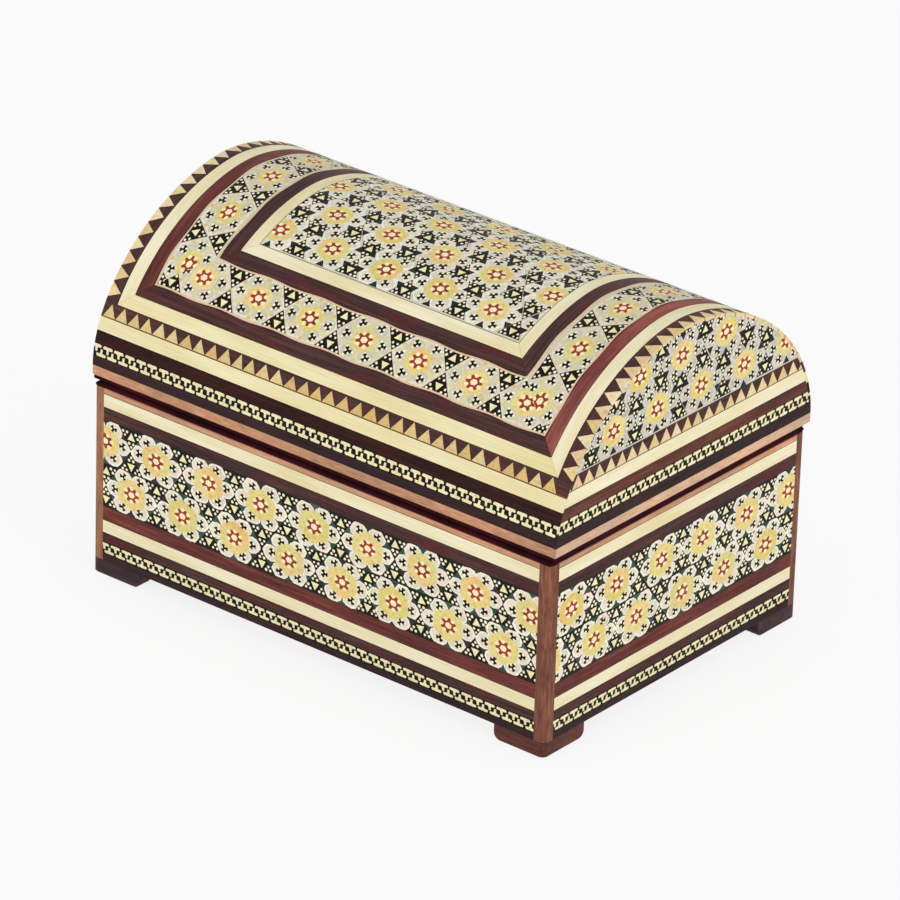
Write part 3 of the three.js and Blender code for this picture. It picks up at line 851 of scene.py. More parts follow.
class Cut(NamedTuple):
    """How a khatam pattern is cut: how far its dotted triangles reach, the size of the bone triangle in
    them, how far out the green tips of its black stars end, half their width, and its discs' size."""

    reach: float
    bone: float
    tip_end: float
    tip_half: float
    disc: float


class Ornament(Enum):
    """The khatam patterns on the box."""

    FLOWERS = Cut(4.8, 1.6, 5.8, 1.85, 1.03)
    STARS = Cut(4.4, 1.45, 4.3, 1.45, 0.92)
    HEXAGONS = Cut(5.2, 1.5, 0.0, 0.0, 0.86)


# Outlines of small pieces, out from the middle of their hexagon along +X. The petal's are its left halves.
PATCH = np.array([(4.0, -1.0), (6.2, -1.5), (8.0, -0.5), (8.0, 0.5), (6.2, 1.5), (4.0, 1.0)])
GOLD_TIP = np.array([(6.6, 0.0), (8.0, -0.8), (8.0, 0.8)])
PETAL_RIM = np.array([(4.3, 2.6), (6.2, 3.2), (7.8, 2.75), (8.7, 1.5), (9.25, 0.35)])
PETAL_CORE = np.array([(4.3, 2.05), (6.2, 2.75), (7.4, 2.2), (8.3, 1.0)])
RED_POINT = np.array([(2.3, -0.62), (2.85, 0.0), (2.3, 0.62)])
KITE = np.array([(1.58, 0.0), (1.85, -0.45), (2.35, -0.73), (2.85, -0.5), (2.98, 0.0), (2.85, 0.5),
                 (2.35, 0.73), (1.85, 0.45)])
# Where the three dots in a corner of a black triangle are, out from its middle, as shares of its reach.
CORNER_DOTS = np.array([(0.73, 0.0), (0.47, 0.158), (0.47, -0.158)])


@dataclass
class Khatam:
    """Star marquetry. A row is a chain of hexagons that touch corner to corner, each with a rosette in it,
    and dotted triangles above and below the points where they touch. Rows are squeezed across.

    along and across are the spread of a hexagon's place, slip that of the pieces in and around it, crooked
    that of a disc's turn in degrees, and fit and dot_fit those of the sizes of pieces and of dots.
    """

    seed: int
    ornament: Ornament = Ornament.FLOWERS
    pitch: float = 18.7
    squeeze: float = 0.79
    dot: float = 0.47
    petal_dot: float = 0.41
    petal_reach: float = 6.35
    disc: float = 5.1
    lobe: float = 0.34
    heart: float = 1.18
    along: float = 0.28
    across: float = 0.2
    slip: float = 0.12
    crooked: float = 4.0
    fit: float = 0.02
    dot_fit: float = 0.08
    tone: tuple[float, float, float] = (1.0, 1.0, 1.0)
    yellows: tuple[str, ...] = ("#e6d888", "#e9d98c", "#e1d68e", "#ecdc95", "#e2d17c")
    oranges: tuple[str, ...] = ("#edc682", "#edc079", "#eed192", "#e6d07e", "#f0cd92")
    rims: tuple[str, ...] = ("#ece5d9", "#eae7de", "#ede0da", "#e7e7dc", "#f0ebe2")
    cores: tuple[str, ...] = ("#dcd6c6", "#d8d7c8", "#e0d5cc", "#d5d2c0", "#e4dccd")
    greens: tuple[str, ...] = ("#33493d", "#2a4f42", "#42574a", "#34352d", "#2e5244", "#3a3337")
    black: str = "#120d05"
    ivory: str = "#faf3d6"
    bone: str = "#f3ecbd"
    red: str = "#9c3a22"
    cream: str = "#fdf0c8"
    rng: np.random.Generator = field(init=False)

    def __post_init__(self) -> None:
        """Seeds the hand-made unevenness."""
        self.rng = np.random.default_rng(self.seed)

    def shade(self, code: str, spread: float = 0.05) -> tuple[float, ...]:
        """Returns a colour, a little lighter or darker by chance."""
        return shaded(self.rng, code, spread, spread)

    def pick(self, codes: Sequence[str]) -> str:
        """Returns one of the colours by chance."""
        return codes[int(self.rng.integers(len(codes)))]

    def pearl(self, codes: Sequence[str], spread: float) -> tuple[float, ...]:
        """Returns one of the petal colours by chance, in this panel's tone."""
        return tuple(min(c * t, 1.0) for c, t in zip(self.shade(self.pick(codes), spread), self.tone))

    def between(self, first: str, second: str, share: float) -> tuple[float, ...]:
        """Returns the colour that lies a share of the way from one colour to another."""
        return tuple(a + (b - a) * share for a, b in zip(linear(first)[:3], linear(second)[:3]))

    def upright(self, outline: np.ndarray, centre: Sequence[float], tall: float = 0.95) -> np.ndarray:
        """Stretches a small shape so that the squeeze leaves it this tall for its width, and moves it."""
        return outline * (1, tall / self.squeeze) + np.asarray(centre)

    def uneven(self, half: np.ndarray, spread: float) -> np.ndarray:
        """Completes the left half of an outline by its mirror image, and moves each corner by chance."""
        whole = np.concatenate([half * (1, -1), half[::-1]])
        return whole + self.rng.normal(0, spread, whole.shape)

    def rows(self, layings: Sequence[tuple[Laying, float]], span: tuple[float, float]) -> None:
        """Lays rows: the hexagons of all of them, then the dotted triangles, then the rosettes.

        Args:
            layings: for each row, where its middle line runs, and where one rosette is along it.
            span: from where to where along the rows.
        """
        placed = []
        for laying, phase in layings:
            base = replace(laying, squeeze=self.squeeze)
            first = math.floor((span[0] - phase) / self.pitch) - 1
            last = math.ceil((span[1] - phase) / self.pitch) + 1
            places = [phase + k * self.pitch for k in range(first, last + 1)]
            placed.append((base, [(x + self.rng.normal(0, self.along), self.rng.normal(0, self.across))
                                  for x in places]))
        for base, centres in placed:
            for centre in centres:
                self.ground(base, centre)
        height = self.pitch / 2 / math.sqrt(3)
        for base, centres in placed:
            for (x, _), (after, _) in zip(centres[:-1], centres[1:]):
                for side in (1, -1):
                    middle = (x + after) / 2 + self.rng.normal(0, self.slip)
                    self.dotted(base, (middle, side * height + self.rng.normal(0, self.slip)), side)
        for base, centres in placed:
            for centre in centres:
                self.rosette(base, centre)

    def ground(self, base: Laying, centre: tuple[float, float]) -> None:
        """Lays a pearly hexagon, its six petals, and the green tips or yellow patches between them."""
        def lay(outline: np.ndarray, tint: Tint, finish: Finish = TESSERA) -> None:
            """Lays a piece of this hexagon, given from its middle."""
            base.lay(outline + centre, tint, finish)

        cut = self.ornament.value
        lay(ngon(6, self.pitch / 2), self.pearl(self.rims, 0.04), PEARL)
        for turn in range(30, 390, 60):
            if self.ornament is Ornament.HEXAGONS:
                lay(turned(PATCH, turn), self.shade("#dcd4a4", 0.05), PEARL)
                if self.rng.random() < 0.3:
                    lay(turned(GOLD_TIP, turn), self.shade("#dfc084", 0.08))
            else:
                star = polar(self.pitch / math.sqrt(3), turn)
                shift, foot = self.rng.normal(0, self.slip), cut.reach * 0.46
                tip = turned(np.array([(cut.tip_end, shift), (foot, shift + cut.tip_half),
                                       (foot, shift - cut.tip_half)]), 180 + turn)
                tip = self.upright(tip, star) if self.ornament is Ornament.STARS else tip + star
                lay(tip, self.shade(self.pick(self.greens), 0.15))
        for k in range(6):
            turn = 60 * k + self.rng.normal(0, 1.5)
            size = 1 + self.rng.normal(0, self.fit)
            rim, core = self.uneven(PETAL_RIM, 0.1), self.uneven(PETAL_CORE, 0.08)
            if self.ornament is Ornament.FLOWERS:
                lay(turned(rim * size, turn), self.pearl(self.rims, 0.04), PEARL)
            lay(turned(core * size, turn), self.pearl(self.cores, 0.05), PEARL)

    def dotted(self, base: Laying, centre: tuple[float, float], side: int) -> None:
        """Lays a black triangle with a bone triangle in its middle and three dots in each corner."""
        turn = -90 * side
        cut = self.ornament.value
        tall = (1, 0.95 / self.squeeze) if self.ornament is Ornament.STARS else (1, 1)
        base.lay(ngon(3, cut.reach, turn) * tall + centre, self.shade(self.black, 0.15))
        middle = turned(ngon(3, cut.bone), turn + 180 + self.rng.normal(0, 3))
        base.lay(self.upright(middle, centre, 0.97), self.shade(self.bone))
        for k in range(3):
            for dot in cut.reach * CORNER_DOTS:
                spot = turned(dot, turn + 120 * k) * tall + centre
                size = self.dot * (1 + self.rng.normal(0, self.dot_fit))
                base.lay(self.upright(ngon(6, size, 30), spot), self.shade(self.ivory, 0.04))

    def triad(self, lay: Callable[[np.ndarray, Tint], None], spot: np.ndarray, turn: float) -> None:
        """Lays the small black triangle of a petal, with six cream dots that leave a black propeller."""
        lay(self.upright(turned(ngon(3, 2.0), turn), spot), self.shade(self.black, 0.15))
        for k in range(3):
            for out, angle in ((1.6, 120 * k), (0.8, 120 * k + 60)):
                dot = polar(out, turn + angle) * (1, 0.95 / self.squeeze) + spot
                size = self.petal_dot * (1 + self.rng.normal(0, self.dot_fit))
                lay(self.upright(ngon(6, size, 15), dot), self.shade(self.ivory, 0.05))

    def rosette(self, base: Laying, centre: tuple[float, float]) -> None:
        """Lays a two-toned disc with its red star, and the small dotted triangles around it.

        The disc's radius is disc - lobe * cos(6 * angle), times the pattern's own size, and its eight
        wedges turn from yellow to orange by the cosine of their angle.
        """
        def lay(outline: np.ndarray, tint: Tint) -> None:
            """Lays a piece of this rosette, given from its middle."""
            base.lay(outline + centre, tint)

        for k in range(6):
            angle = 60 * k + self.rng.normal(0, 2)
            spot = polar(self.petal_reach + self.rng.normal(0, 0.15), angle) * (1, 1.04)
            self.triad(lay, spot, angle + (60 if self.rng.random() < 0.5 else 0))
        tilt = self.rng.normal(0, self.crooked)
        size = self.ornament.value.disc * (1 + self.rng.normal(0, self.fit))
        angles = np.radians(np.arange(24) * 15 + tilt)
        lobes = (self.disc - self.lobe * np.cos(6 * (angles - math.radians(tilt)))) * size
        lobes = lobes * (1 + self.rng.uniform(-0.03, 0.03, len(angles)))
        disc = np.stack([np.cos(angles) * lobes, np.sin(angles) * lobes * 1.1], axis=1)
        yellow, orange = self.pick(self.yellows), self.pick(self.oranges)
        favoured, reach = self.rng.uniform(0, 2 * math.pi), self.rng.uniform(0.3, 1.0)
        for k in range(0, 24, 3):
            wedge = np.concatenate([[(0.0, 0.0)], disc[[(k + i) % 24 for i in range(4)]]])
            share = 0.5 + 0.5 * math.cos(angles[k] + 0.4 - favoured) + self.rng.normal(0, 0.12)
            lay(wedge, self.between(yellow, orange, min(max(share * reach, 0), 1)))
        turn = float(self.rng.choice([0.0, 30.0])) + self.rng.normal(0, self.crooked)
        tall = (1, 1.06)
        star = np.concatenate([turned(RED_POINT, turn + 60 * k) for k in range(6)])
        lay(star * tall, self.shade(self.red, 0.15))
        for k in range(6):
            lay(turned(KITE, turn + 30 + 60 * k) * tall, self.shade(self.cream, 0.04))
        lay(ngon(6, self.heart, turn) * tall, self.shade(self.cream, 0.04))


@dataclass
class Chain:
    """The chain line: bone T shapes with their bars above, and others upside down between their stems.

    ground is how wide the black line under them is, and below how far down darker wood goes from its middle.
    """

    seed: int
    pitch: float = 4.03
    bar: float = 3.5
    thick: float = 0.84
    height: float = 3.3
    ground: float = 3.8
    below: float = 9.0
    bone: str = "#f3e9bd"
    black: str = "#0f0b08"

    def line(self, laying: Laying, length: float) -> None:
        """Lays the chain along a middle line.

        Args:
            laying: where the line starts and how it runs.
            length: how long it is.
        """
        rng = np.random.default_rng(self.seed)
        laying.lay(rectangle(-1, -self.below, length + 1, 0), self.black, CHAIN_ROSEWOOD)
        laying.lay(rectangle(-1, -self.ground / 2, length + 1, self.ground / 2), self.black)
        half, edge = self.bar / 2, self.height / 2
        low = edge - self.thick
        letter = np.array([
            (0.44, -0.45), (0.42, low - 0.15), (0.8, low), (half - 0.2, low), (half, low + 0.35),
            (half - 0.3, edge), (0.3 - half, edge), (-half, low + 0.35), (0.2 - half, low), (-0.75, low),
            (-0.4, low - 0.15), (-0.25, -0.45)])
        for k in range(math.ceil(length / self.pitch) + 1):
            for side, offset in ((1, 0.0), (-1, 0.45 * self.pitch)):
                x = k * self.pitch + offset + rng.normal(0, 0.05)
                laying.lay(letter * (1, side) + (x, 0), shaded(rng, self.bone, 0.06, 0.04))


# The darker tips in the black stars of the lid, and the paler triangles on its slopes and ends.
STAR_TIPS = ("#1a2620", "#202f27", "#1c1d18", "#182c24", "#262122")
PALE_LIGHTS = ("#ead3a2", "#e4cb94", "#eedab4", "#e8d8a8", "#e7c9a0")


@dataclass
class Zigzag:
    """Light triangles in a row on a dark ground, their bases on one border line."""

    seed: int
    pitch: float = 4.92
    height: float = 4.1
    lights: tuple[str, ...] = ("#e0c588", "#d9bb76", "#e4ce98", "#dfc38c", "#dab87c")
    edge: float = 0.2

    def row(self, laying: Laying, length: float, phase: float) -> None:
        """Lays the row along its border line.

        Args:
            laying: where the border line starts and how it runs, with the row on its left.
            length: how long it is.
            phase: how far along the first triangle starts.
        """
        rng = np.random.default_rng(self.seed)
        x = phase
        while x < length:
            wide = self.pitch * (0.95 + rng.normal(0, 0.05))
            if x + wide > length + 1.5:
                break
            apex = (x + wide * (0.5 + rng.normal(0, 0.05)), self.height * (0.93 + rng.normal(0, 0.03)))
            light = np.array([(x + 0.12, self.edge - 0.02), (x + wide - 0.12, self.edge - 0.02), apex])
            code = self.lights[int(rng.integers(len(self.lights)))]
            laying.lay(light, shaded(rng, code, 0.06, 0.06))
            x += wide
        if self.edge:
            laying.lay(rectangle(-1, -0.1, length + 1, self.edge), "#8a5a34")


# Sub-assemblies


@dataclass
class Case:
    """The case: pale boards, corner posts, bracket feet and the panels on its four faces.

    rows holds, for each face, the height of each row of rosettes and where one rosette is along it.
    """

    sizes: CaseSizes = CASE
    rows: dict[str, tuple[tuple[float, float], ...]] = field(default_factory=lambda: {
        "front": ((41.0, -0.85), (28.0, 9.0)),
        "right": ((41.2, -7.6), (28.1, 2.0)),
        "back": ((41.1, 3.1), (28.0, -6.2)),
        "left": ((41.0, 4.4), (28.1, -4.9)),
    })

    def build(self) -> None:
        """Builds every piece of the case that shows."""
        for number, (side, (face, reach)) in enumerate(CASE_FACES.items()):
            self.build_face(side, face, reach - self.sizes.post, number)
        for name, sx, sy in (("front_right", 1, 1), ("back_right", 1, -1), ("back_left", -1, -1),
                             ("front_left", -1, 1)):
            self.build_post(name, sx, sy)
            self.build_foot(name, sx, sy)
        for node, finish in (("wall_front", LIMEWOOD), ("wall_back", LIMEWOOD), ("base_board", LIMEWOOD),
                             ("wall_left", LIMEWOOD_ACROSS), ("wall_right", LIMEWOOD_ACROSS)):
            dress_node(node, finish)

    def build_face(self, side: str, face: Face, reach: float, number: int) -> None:
        """Builds the strips and the star sheet of one face.

        Args:
            side: the face's name.
            face: the face.
            reach: half the width between the posts.
            number: the face's number, for its own unevenness.
        """
        z = self.sizes

        def strip(name: str, low: float, high: float, upper: float = 0, lower: float = z.inlay) -> Panel:
            """Starts a panel between two heights and two depths."""
            return Panel(f"{side}_{name}", face, [rectangle(-reach, low, reach, high)], (upper, lower))

        chained = strip("chain_line", z.bottom, z.chain_top)
        chained.cover("#3c2429", DARK_ROSEWOOD)
        middle = Laying(chained, (0.6 - reach, z.bottom + z.chain_up))
        Chain(10 + number, height=3.0, thick=0.78).line(middle, 2 * reach)
        chained.build("case", "chain_strip", f"{side}_chain_strip")
        for name, low, high in (("lower", z.chain_top, z.bone_top), ("upper", z.rosewood_top, z.inlay_top)):
            bone = strip(f"{name}_bone", low, high)
            build_bone(bone, BONE, (reach, low, high), "case", f"{side}_{name}_ivory")
        ground = strip("rosewood_strips", z.bone_top, z.mosaic_from)
        ground.add_region(rectangle(-reach, z.mosaic_to, reach, z.rosewood_top))
        ground.cover("#6a2d30", RED_ROSEWOOD, 0)
        ground.cover("#3e262c", DARK_ROSEWOOD, 1)
        ground.build("case", "rosewood", f"{side}_rosewood")
        bed = strip("khatam_bed", z.mosaic_from, z.mosaic_to, upper=z.mosaic)
        bed.cover("#3e262c", DARK_ROSEWOOD)
        bed.build("case", "rosewood", f"{side}_rosewood")
        sheet = strip("star_mosaic", z.mosaic_from, z.mosaic_to, lower=z.mosaic)
        sheet.cover("#1a1f1b", TESSERA)
        rows = [(Laying(sheet, (0.0, height)), phase) for height, phase in self.rows[side]]
        Khatam(30 + number, tone=(1.12, 1.08, 1.0)).rows(rows, (-reach, reach))
        sheet.build("case", "star_marquetry", f"{side}_khatam")

    def build_post(self, name: str, sx: int, sy: int) -> None:
        """Builds a corner post: its outline, round at the outer corner, carried straight up."""
        z = self.sizes
        angles = np.radians(np.linspace(180, 270, 11))
        r = z.corner_radius
        round_ = np.stack([r + r * np.cos(angles), r + r * np.sin(angles)], axis=1)
        outline = np.concatenate([round_, [(z.post, 0), (z.post, z.post), (0, z.post)]])
        middle = outline.mean(axis=0)
        levels = [(z.bottom, 1.0), (z.top - 0.25, 1.0), (z.top, 0.93)]
        rings = [(outline - middle) * grow + middle for _, grow in levels]
        points = [np.column_stack([corner_points(ring, sx, sy), np.full(len(ring), height)])
                  for ring, (height, _) in zip(rings, levels)]
        faces = ring_faces(len(levels), len(outline), sx * sy > 0)
        finish = MAHOGANY_PALE if name == "front_left" else MAHOGANY
        make_piece(f"corner_post_{name}", np.concatenate(points), faces, [finish], "case",
                   [f"post_{name}"], smooth=35)

    def build_foot(self, name: str, sx: int, sy: int) -> None:
        """Builds a bracket foot: a bar profile carried along an L, rounded up at the lower ends.

        Near an end the underside rises as z = r - sqrt(r^2 - (r - t)^2), t being the distance to the end.
        """
        z = self.sizes
        r, reach, wide = z.foot_end_radius, z.foot_reach, z.wall
        theta = np.radians(np.linspace(90, 0, 7))
        a = np.concatenate([reach - r + r * np.sin(theta), [wide + 2, wide, z.corner_radius + 0.6]])
        rise = np.concatenate([r - r * np.cos(theta), [0, 0, 0]])
        arc = np.radians(np.linspace(270, 180, 9))
        bend = np.stack([z.corner_radius * (1 + np.cos(arc)), z.corner_radius * (1 + np.sin(arc))], axis=1)
        outer = np.concatenate([np.column_stack([a, np.zeros_like(a)]), bend,
                                np.column_stack([np.zeros_like(a), a])[::-1]])
        inner = np.concatenate([np.column_stack([np.maximum(a, wide), np.full_like(a, wide)]),
                                np.full((len(bend), 2), wide),
                                np.column_stack([np.full_like(a, wide), np.maximum(a, wide)])[::-1]])
        under = np.concatenate([rise, np.zeros(len(bend)), rise[::-1]])
        top = np.full(len(under), z.bottom)
        chamfer = 0.35
        out_xy, in_xy = corner_points(outer, sx, sy), corner_points(inner, sx, sy)
        near = corner_points(outer + (inner - outer) * chamfer / wide, sx, sy)
        rings = np.stack([np.column_stack([out_xy, top]), np.column_stack([out_xy, under + chamfer]),
                          np.column_stack([near, under]), np.column_stack([in_xy, under]),
                          np.column_stack([in_xy, top])], axis=1)
        faces = ring_faces(len(rings), 5, sx * sy < 0)
        points, faces = merged(rings.reshape(-1, 3), faces)
        finish = FOOT_MAHOGANY if name == "front_right" else FOOT_DARK
        make_piece(f"bracket_foot_{name}", points, faces, [finish], "case", [f"foot_{name}"],
                   smooth=40)


def corner_points(flat: np.ndarray, sx: int, sy: int) -> np.ndarray:
    """Turns distances in from a corner of the case along X and Y into x and y."""
    x = sx * (CASE.half_length - flat[:, 0])
    y = CASE.middle_y - sy * (CASE.half_width - flat[:, 1])
    return np.stack([x, y], axis=1)


def ring_faces(rings: int, count: int, flip: bool) -> list[list[int]]:
    """Joins rings of points into a closed skin: quads between neighbouring rings, and a cap at each end.

    Args:
        rings: how many rings there are.
        count: how many points each has.
        flip: whether the faces turn the other way.

    Returns:
        The faces.
    """
    i, j = np.meshgrid(np.arange(rings - 1), np.arange(count), indexing="ij")
    this, after = i * count + j, i * count + (j + 1) % count
    quads = np.stack([this, after, after + count, this + count], axis=-1)
    faces = quads.reshape(-1, 4).tolist()
    faces.append(list(range(count))[::-1])
    faces.append([(rings - 1) * count + k for k in range(count)])
    return [face[::-1] for face in faces] if flip else faces


def merged(points: np.ndarray, faces: Sequence[Sequence[int]]) -> tuple[np.ndarray, list[list[int]]]:
    """Joins points that coincide, and drops what that leaves of faces without an area."""
    _, first, number = np.unique(np.round(points, 5), axis=0, return_index=True, return_inverse=True)
    number = number.ravel()
    kept = []
    for face in faces:
        ring = [int(number[i]) for i in face]
        ring = [p for k, p in enumerate(ring) if p != ring[k - 1]]
        if len(ring) > 2:
            kept.append(ring)
    return points[first], kept


def dress_node(node: str, finish: Finish) -> None:
    """Gives a node of the frame its finish."""
    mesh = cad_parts[node].data
    mesh.materials.clear()
    mesh.materials.append(finish.material())
    LOG.info("%s: dressed as %s", node, finish.name)


@dataclass
class Lid:
    """The lid: its rim, the panels on its barrel and on its two arched ends.

    field_rows and end_rows hold the height of each row of rosettes and where one rosette is along it.
    """

    sizes: LidSizes = LID
    field_rows: tuple[tuple[float, float], ...] = (
        (59.1, -6.0), (71.2, 4.5), (83.9, -5.5), (96.8, 4.2), (109.7, -5.3))
    end_rows: dict[str, tuple[tuple[float, float], ...]] = field(default_factory=lambda: {
        "right": ((29.1, 4.9), (41.3, -3.65), (53.6, 5.2)),
        "left": ((29.2, -4.0), (41.4, 5.3), (53.7, -4.2)),
    })

    def build(self) -> None:
        """Builds every piece of the lid that shows."""
        self.build_rim()
        self.build_long_strips()
        self.build_zigzag()
        self.build_frames()
        self.build_band()
        self.build_field()
        for number, side in enumerate(("left", "right")):
            self.build_end(side, number)
        for node, finish in (("lid_vault", LIMEWOOD), ("lid_end_left", LIMEWOOD_ACROSS),
                             ("lid_end_right", LIMEWOOD_ACROSS)):
            dress_node(node, finish)

    def legs(self, outer: int, inner: int) -> list[np.ndarray]:
        """Returns the four mitred legs of a frame between two border numbers: front, right, back, left."""
        x0, x1 = self.sizes.out[outer], self.sizes.out[inner]
        s0, s1 = self.sizes.up[outer], self.sizes.up[inner]
        t0, t1 = BARREL.length - s0, BARREL.length - s1
        return [
            np.array([(-x0, s0), (x0, s0), (x1, s1), (-x1, s1)]),
            np.array([(x0, s0), (x0, t0), (x1, t1), (x1, s1)]),
            np.array([(x0, t0), (-x0, t0), (-x1, t1), (x1, t1)]),
            np.array([(-x0, t0), (-x0, s0), (-x1, s1), (-x1, t1)]),
        ]

    def build_rim(self) -> None:
        """Builds the rim: four mitred bars, each a profile carried along its side, rounded below.

        The profile runs down the outer face, round the lower edge, in under the rim and up inside.
        """
        z = self.sizes
        angle = np.radians(np.linspace(0, 90, 6))
        radius = 0.7
        outer = np.stack([radius - radius * np.cos(angle), radius - radius * np.sin(angle)], axis=1)
        profile = np.concatenate([[(0, z.rim)], outer, [(z.rim_width, 0), (z.rim_width, z.rim)]])
        points, faces, uv = [], [], []
        gap = 0.04
        for along, across, turn in ((z.half_length, z.half_width, 0), (z.half_width, z.half_length, 90),
                                    (z.half_length, z.half_width, 180), (z.half_width, z.half_length, 270)):
            start = sum(len(p) for p in points)
            rings = []
            for sign in (-1, 1):
                x = sign * (along - gap - profile[:, 0])
                y = -(across - profile[:, 0])
                flat = turned(np.column_stack([x, y]), turn)
                rings.append(np.column_stack([flat + (0, z.middle_y), z.bottom + profile[:, 1]]))
            points.append(np.concatenate(rings))
            leg = ring_faces(2, len(profile), False)
            faces += [[i + start for i in face] for face in leg]
            run = np.concatenate([[0], np.cumsum(np.hypot(*np.diff(profile, axis=0).T))])
            corner = np.array([i for face in leg for i in face])
            x = np.where(corner < len(profile), -1.0, 1.0) * (along - profile[corner % len(profile), 0])
            uv.append(np.column_stack([x + turn * 3.7, run[corner % len(profile)] + turn]))
        piece = make_piece("lid_rim_bars", np.concatenate(points), faces, [RIM_WOOD, RIM_WOOD_PALE], "lid",
                           ["lid_rim"], smooth=35)
        write_corners(piece.data, np.concatenate(uv))
        pale = np.arange(len(faces)) // (len(faces) // 4) == 1
        piece.data.polygons.foreach_set("material_index", pale.astype(np.int32))

    def build_long_strips(self) -> None:
        """Builds the chain lines and bone strips along the front and back of the barrel."""
        z = self.sizes
        x, end = z.half_length, BARREL.length
        for number, side in enumerate(("front", "back")):
            back = side == "back"
            low, high = (end - z.bone_from, end - z.rim) if back else (z.rim, z.bone_from)
            strip = Panel(f"lid_{side}_chain_line", BARREL, [rectangle(-x, low, x, high)], (0, z.inlay),
                          lines=1.7)
            strip.cover("#3c2429", WARM_ROSEWOOD)
            middle = Laying(strip, (0.9 - x, z.chain_up))
            if back:
                middle = Laying(strip, (x - 0.8, end - z.chain_up), 180)
            Chain(20 + number).line(middle, 2 * x)
            strip.build("lid", "chain_strip", f"lid_{side}_chain_strip")
            low, high = (end - z.up[0], end - z.bone_from) if back else (z.bone_from, z.up[0])
            bone = Panel(f"lid_{side}_bone", BARREL, [rectangle(-x, low, x, high)], (0, z.inlay), lines=1.0)
            build_bone(bone, YELLOW_BONE, (x, low, high), "lid", f"lid_{side}_ivory")

    def build_zigzag(self) -> None:
        """Builds the ring of triangles round the barrel."""
        z = self.sizes
        x0, x1, s0, s1, end = z.out[0], z.out[1], z.up[0], z.up[1], BARREL.length
        regions = [rectangle(-x0, s0, x0, s1), rectangle(x1, s1, x0, end - s1),
                   rectangle(-x0, end - s1, x0, end - s0), rectangle(-x0, s1, -x1, end - s1)]
        ring = Panel("lid_triangle_ring", BARREL, regions, (0, z.inlay), lines=1.6)
        ring.cover_frame("#3e262c", DARK_ROSEWOOD)
        for home, origin in enumerate(((-x0, s0), (x0, s1), (x0, end - s0), (-x0, end - s1))):
            length = end - 2 * s1 if home % 2 else 2 * x0
            row = Zigzag(40 + home, lights=PALE_LIGHTS, edge=0.0) if home % 2 else Zigzag(40 + home)
            row.row(Laying(ring, origin, 90 * home, home), length, 0.6)
        ring.build("lid", "triangle_inlay", "lid_zigzag_frame")

    def build_frames(self) -> None:
        """Builds the mitred bone and rosewood frames, with a thin dark glue line at each mitre."""
        z = self.sizes
        for name, outer, node in (("lid_outer_bone_frame", 1, "lid_outer_ivory"),
                                  ("lid_inner_bone_frame", 5, "lid_inner_ivory")):
            bone = Panel(name, BARREL, self.legs(outer, outer + 1), (0, z.inlay), lines=2.0)
            for home, leg in enumerate(self.legs(outer, outer + 1)):
                yellowed = outer == 1 and home in (0, 2)
                bone.cover("#efe4bd", YELLOW_BONE if yellowed else BONE, home, home % 2 == 1)
                glue_lines(bone, (leg[0], leg[1]), (leg[2], leg[3]), home=home)
            self.mitres(bone, outer, "#b79a68")
            bone.build("lid", "ivory_inlay", node)
        regions = self.legs(2, 3) + self.legs(4, 5)
        wood = Panel("lid_rosewood_frames", BARREL, regions, (0, z.inlay), lines=2.0)
        for home in range(8):
            finish = {1: BRIGHT_ROSEWOOD, 3: RED_ROSEWOOD}.get(home, DARK_ROSEWOOD)
            wood.cover("#3e262c", finish, home, home % 2 == 1)
        self.mitres(wood, 2, "#1b0f10")
        self.mitres(wood, 4, "#1b0f10", 4)
        wood.build("lid", "rosewood", "lid_rosewood_frame")
        bed = Panel("lid_band_bed", BARREL, self.legs(3, 4), (z.mosaic, z.inlay), lines=2.5)
        bed.cover_frame("#3e262c", DARK_ROSEWOOD)
        bed.build("lid", "rosewood", "lid_rosewood_frame")

    def mitres(self, panel: Panel, outer: int, tint: str, first: int = 0) -> None:
        """Lays a glue line along each mitre of a frame. It shows on one of the two legs."""
        width = 0.07
        for home, leg in enumerate(self.legs(outer, outer + 1)):
            a, b = leg[1], leg[2]
            along = (b - a) / np.linalg.norm(b - a)
            across = np.array((along[1], -along[0])) * width
            a, b = a - along, b + along
            line = np.array([a + across, b + across, b - across, a - across])
            panel.lay(line, tint, TESSERA, first + home)

    def build_band(self) -> None:
        """Builds the star band: four mitred legs, each one row of hexagons between pink hairlines.

        The hairlines swell round each hexagon, by swell times the cosine of the place along the row.
        """
        swell = 0.22
        z = self.sizes
        legs = self.legs(3, 4)
        band = Panel("lid_star_band", BARREL, legs, (0, z.mosaic), lines=2.0)
        pattern = Khatam(60, Ornament.HEXAGONS, dot=0.42, tone=(0.93, 0.9, 0.82))
        middle_s, middle_x = (z.up[3] + z.up[4]) / 2, (z.out[3] + z.out[4]) / 2
        end = BARREL.length
        long, tall = (-z.out[3], z.out[3]), (z.up[3], end - z.up[3])
        layings = (
            (Laying(band, (0.0, middle_s)), 2.1, long),
            (Laying(band, (middle_x + 0.6, 0.0), 90, 1), 39.0, tall),
            (Laying(band, (0.0, end - middle_s), 180, 2), 3.1, long),
            (Laying(band, (-middle_x - 0.2, end), 270, 3), end - 39.4 - 5 * pattern.pitch, tall),
        )
        for home, (laying, phase, span) in enumerate(layings):
            band.cover("#d9cfb4", PEARL, home, home % 2 == 1)
            pattern.rows([(laying, phase)], span)
        for home, (leg, (laying, phase, _)) in enumerate(zip(legs, layings)):
            for a, b in ((leg[0], leg[1]), (leg[2], leg[3])):
                inward = np.array((a[1] - b[1], b[0] - a[0])) / np.linalg.norm(b - a)
                edge = a + (b - a) * np.linspace(0, 1, 90)[:, None]
                bulge = swell * np.cos((laying.along(edge) - phase) * 2 * math.pi / pattern.pitch)
                for low, high, tint in ((-0.1, 0.3, "#3c2325"), (0.3, 0.82, "#e3c3a4")):
                    near = edge + inward * (low - bulge * (low > 0))[:, None]
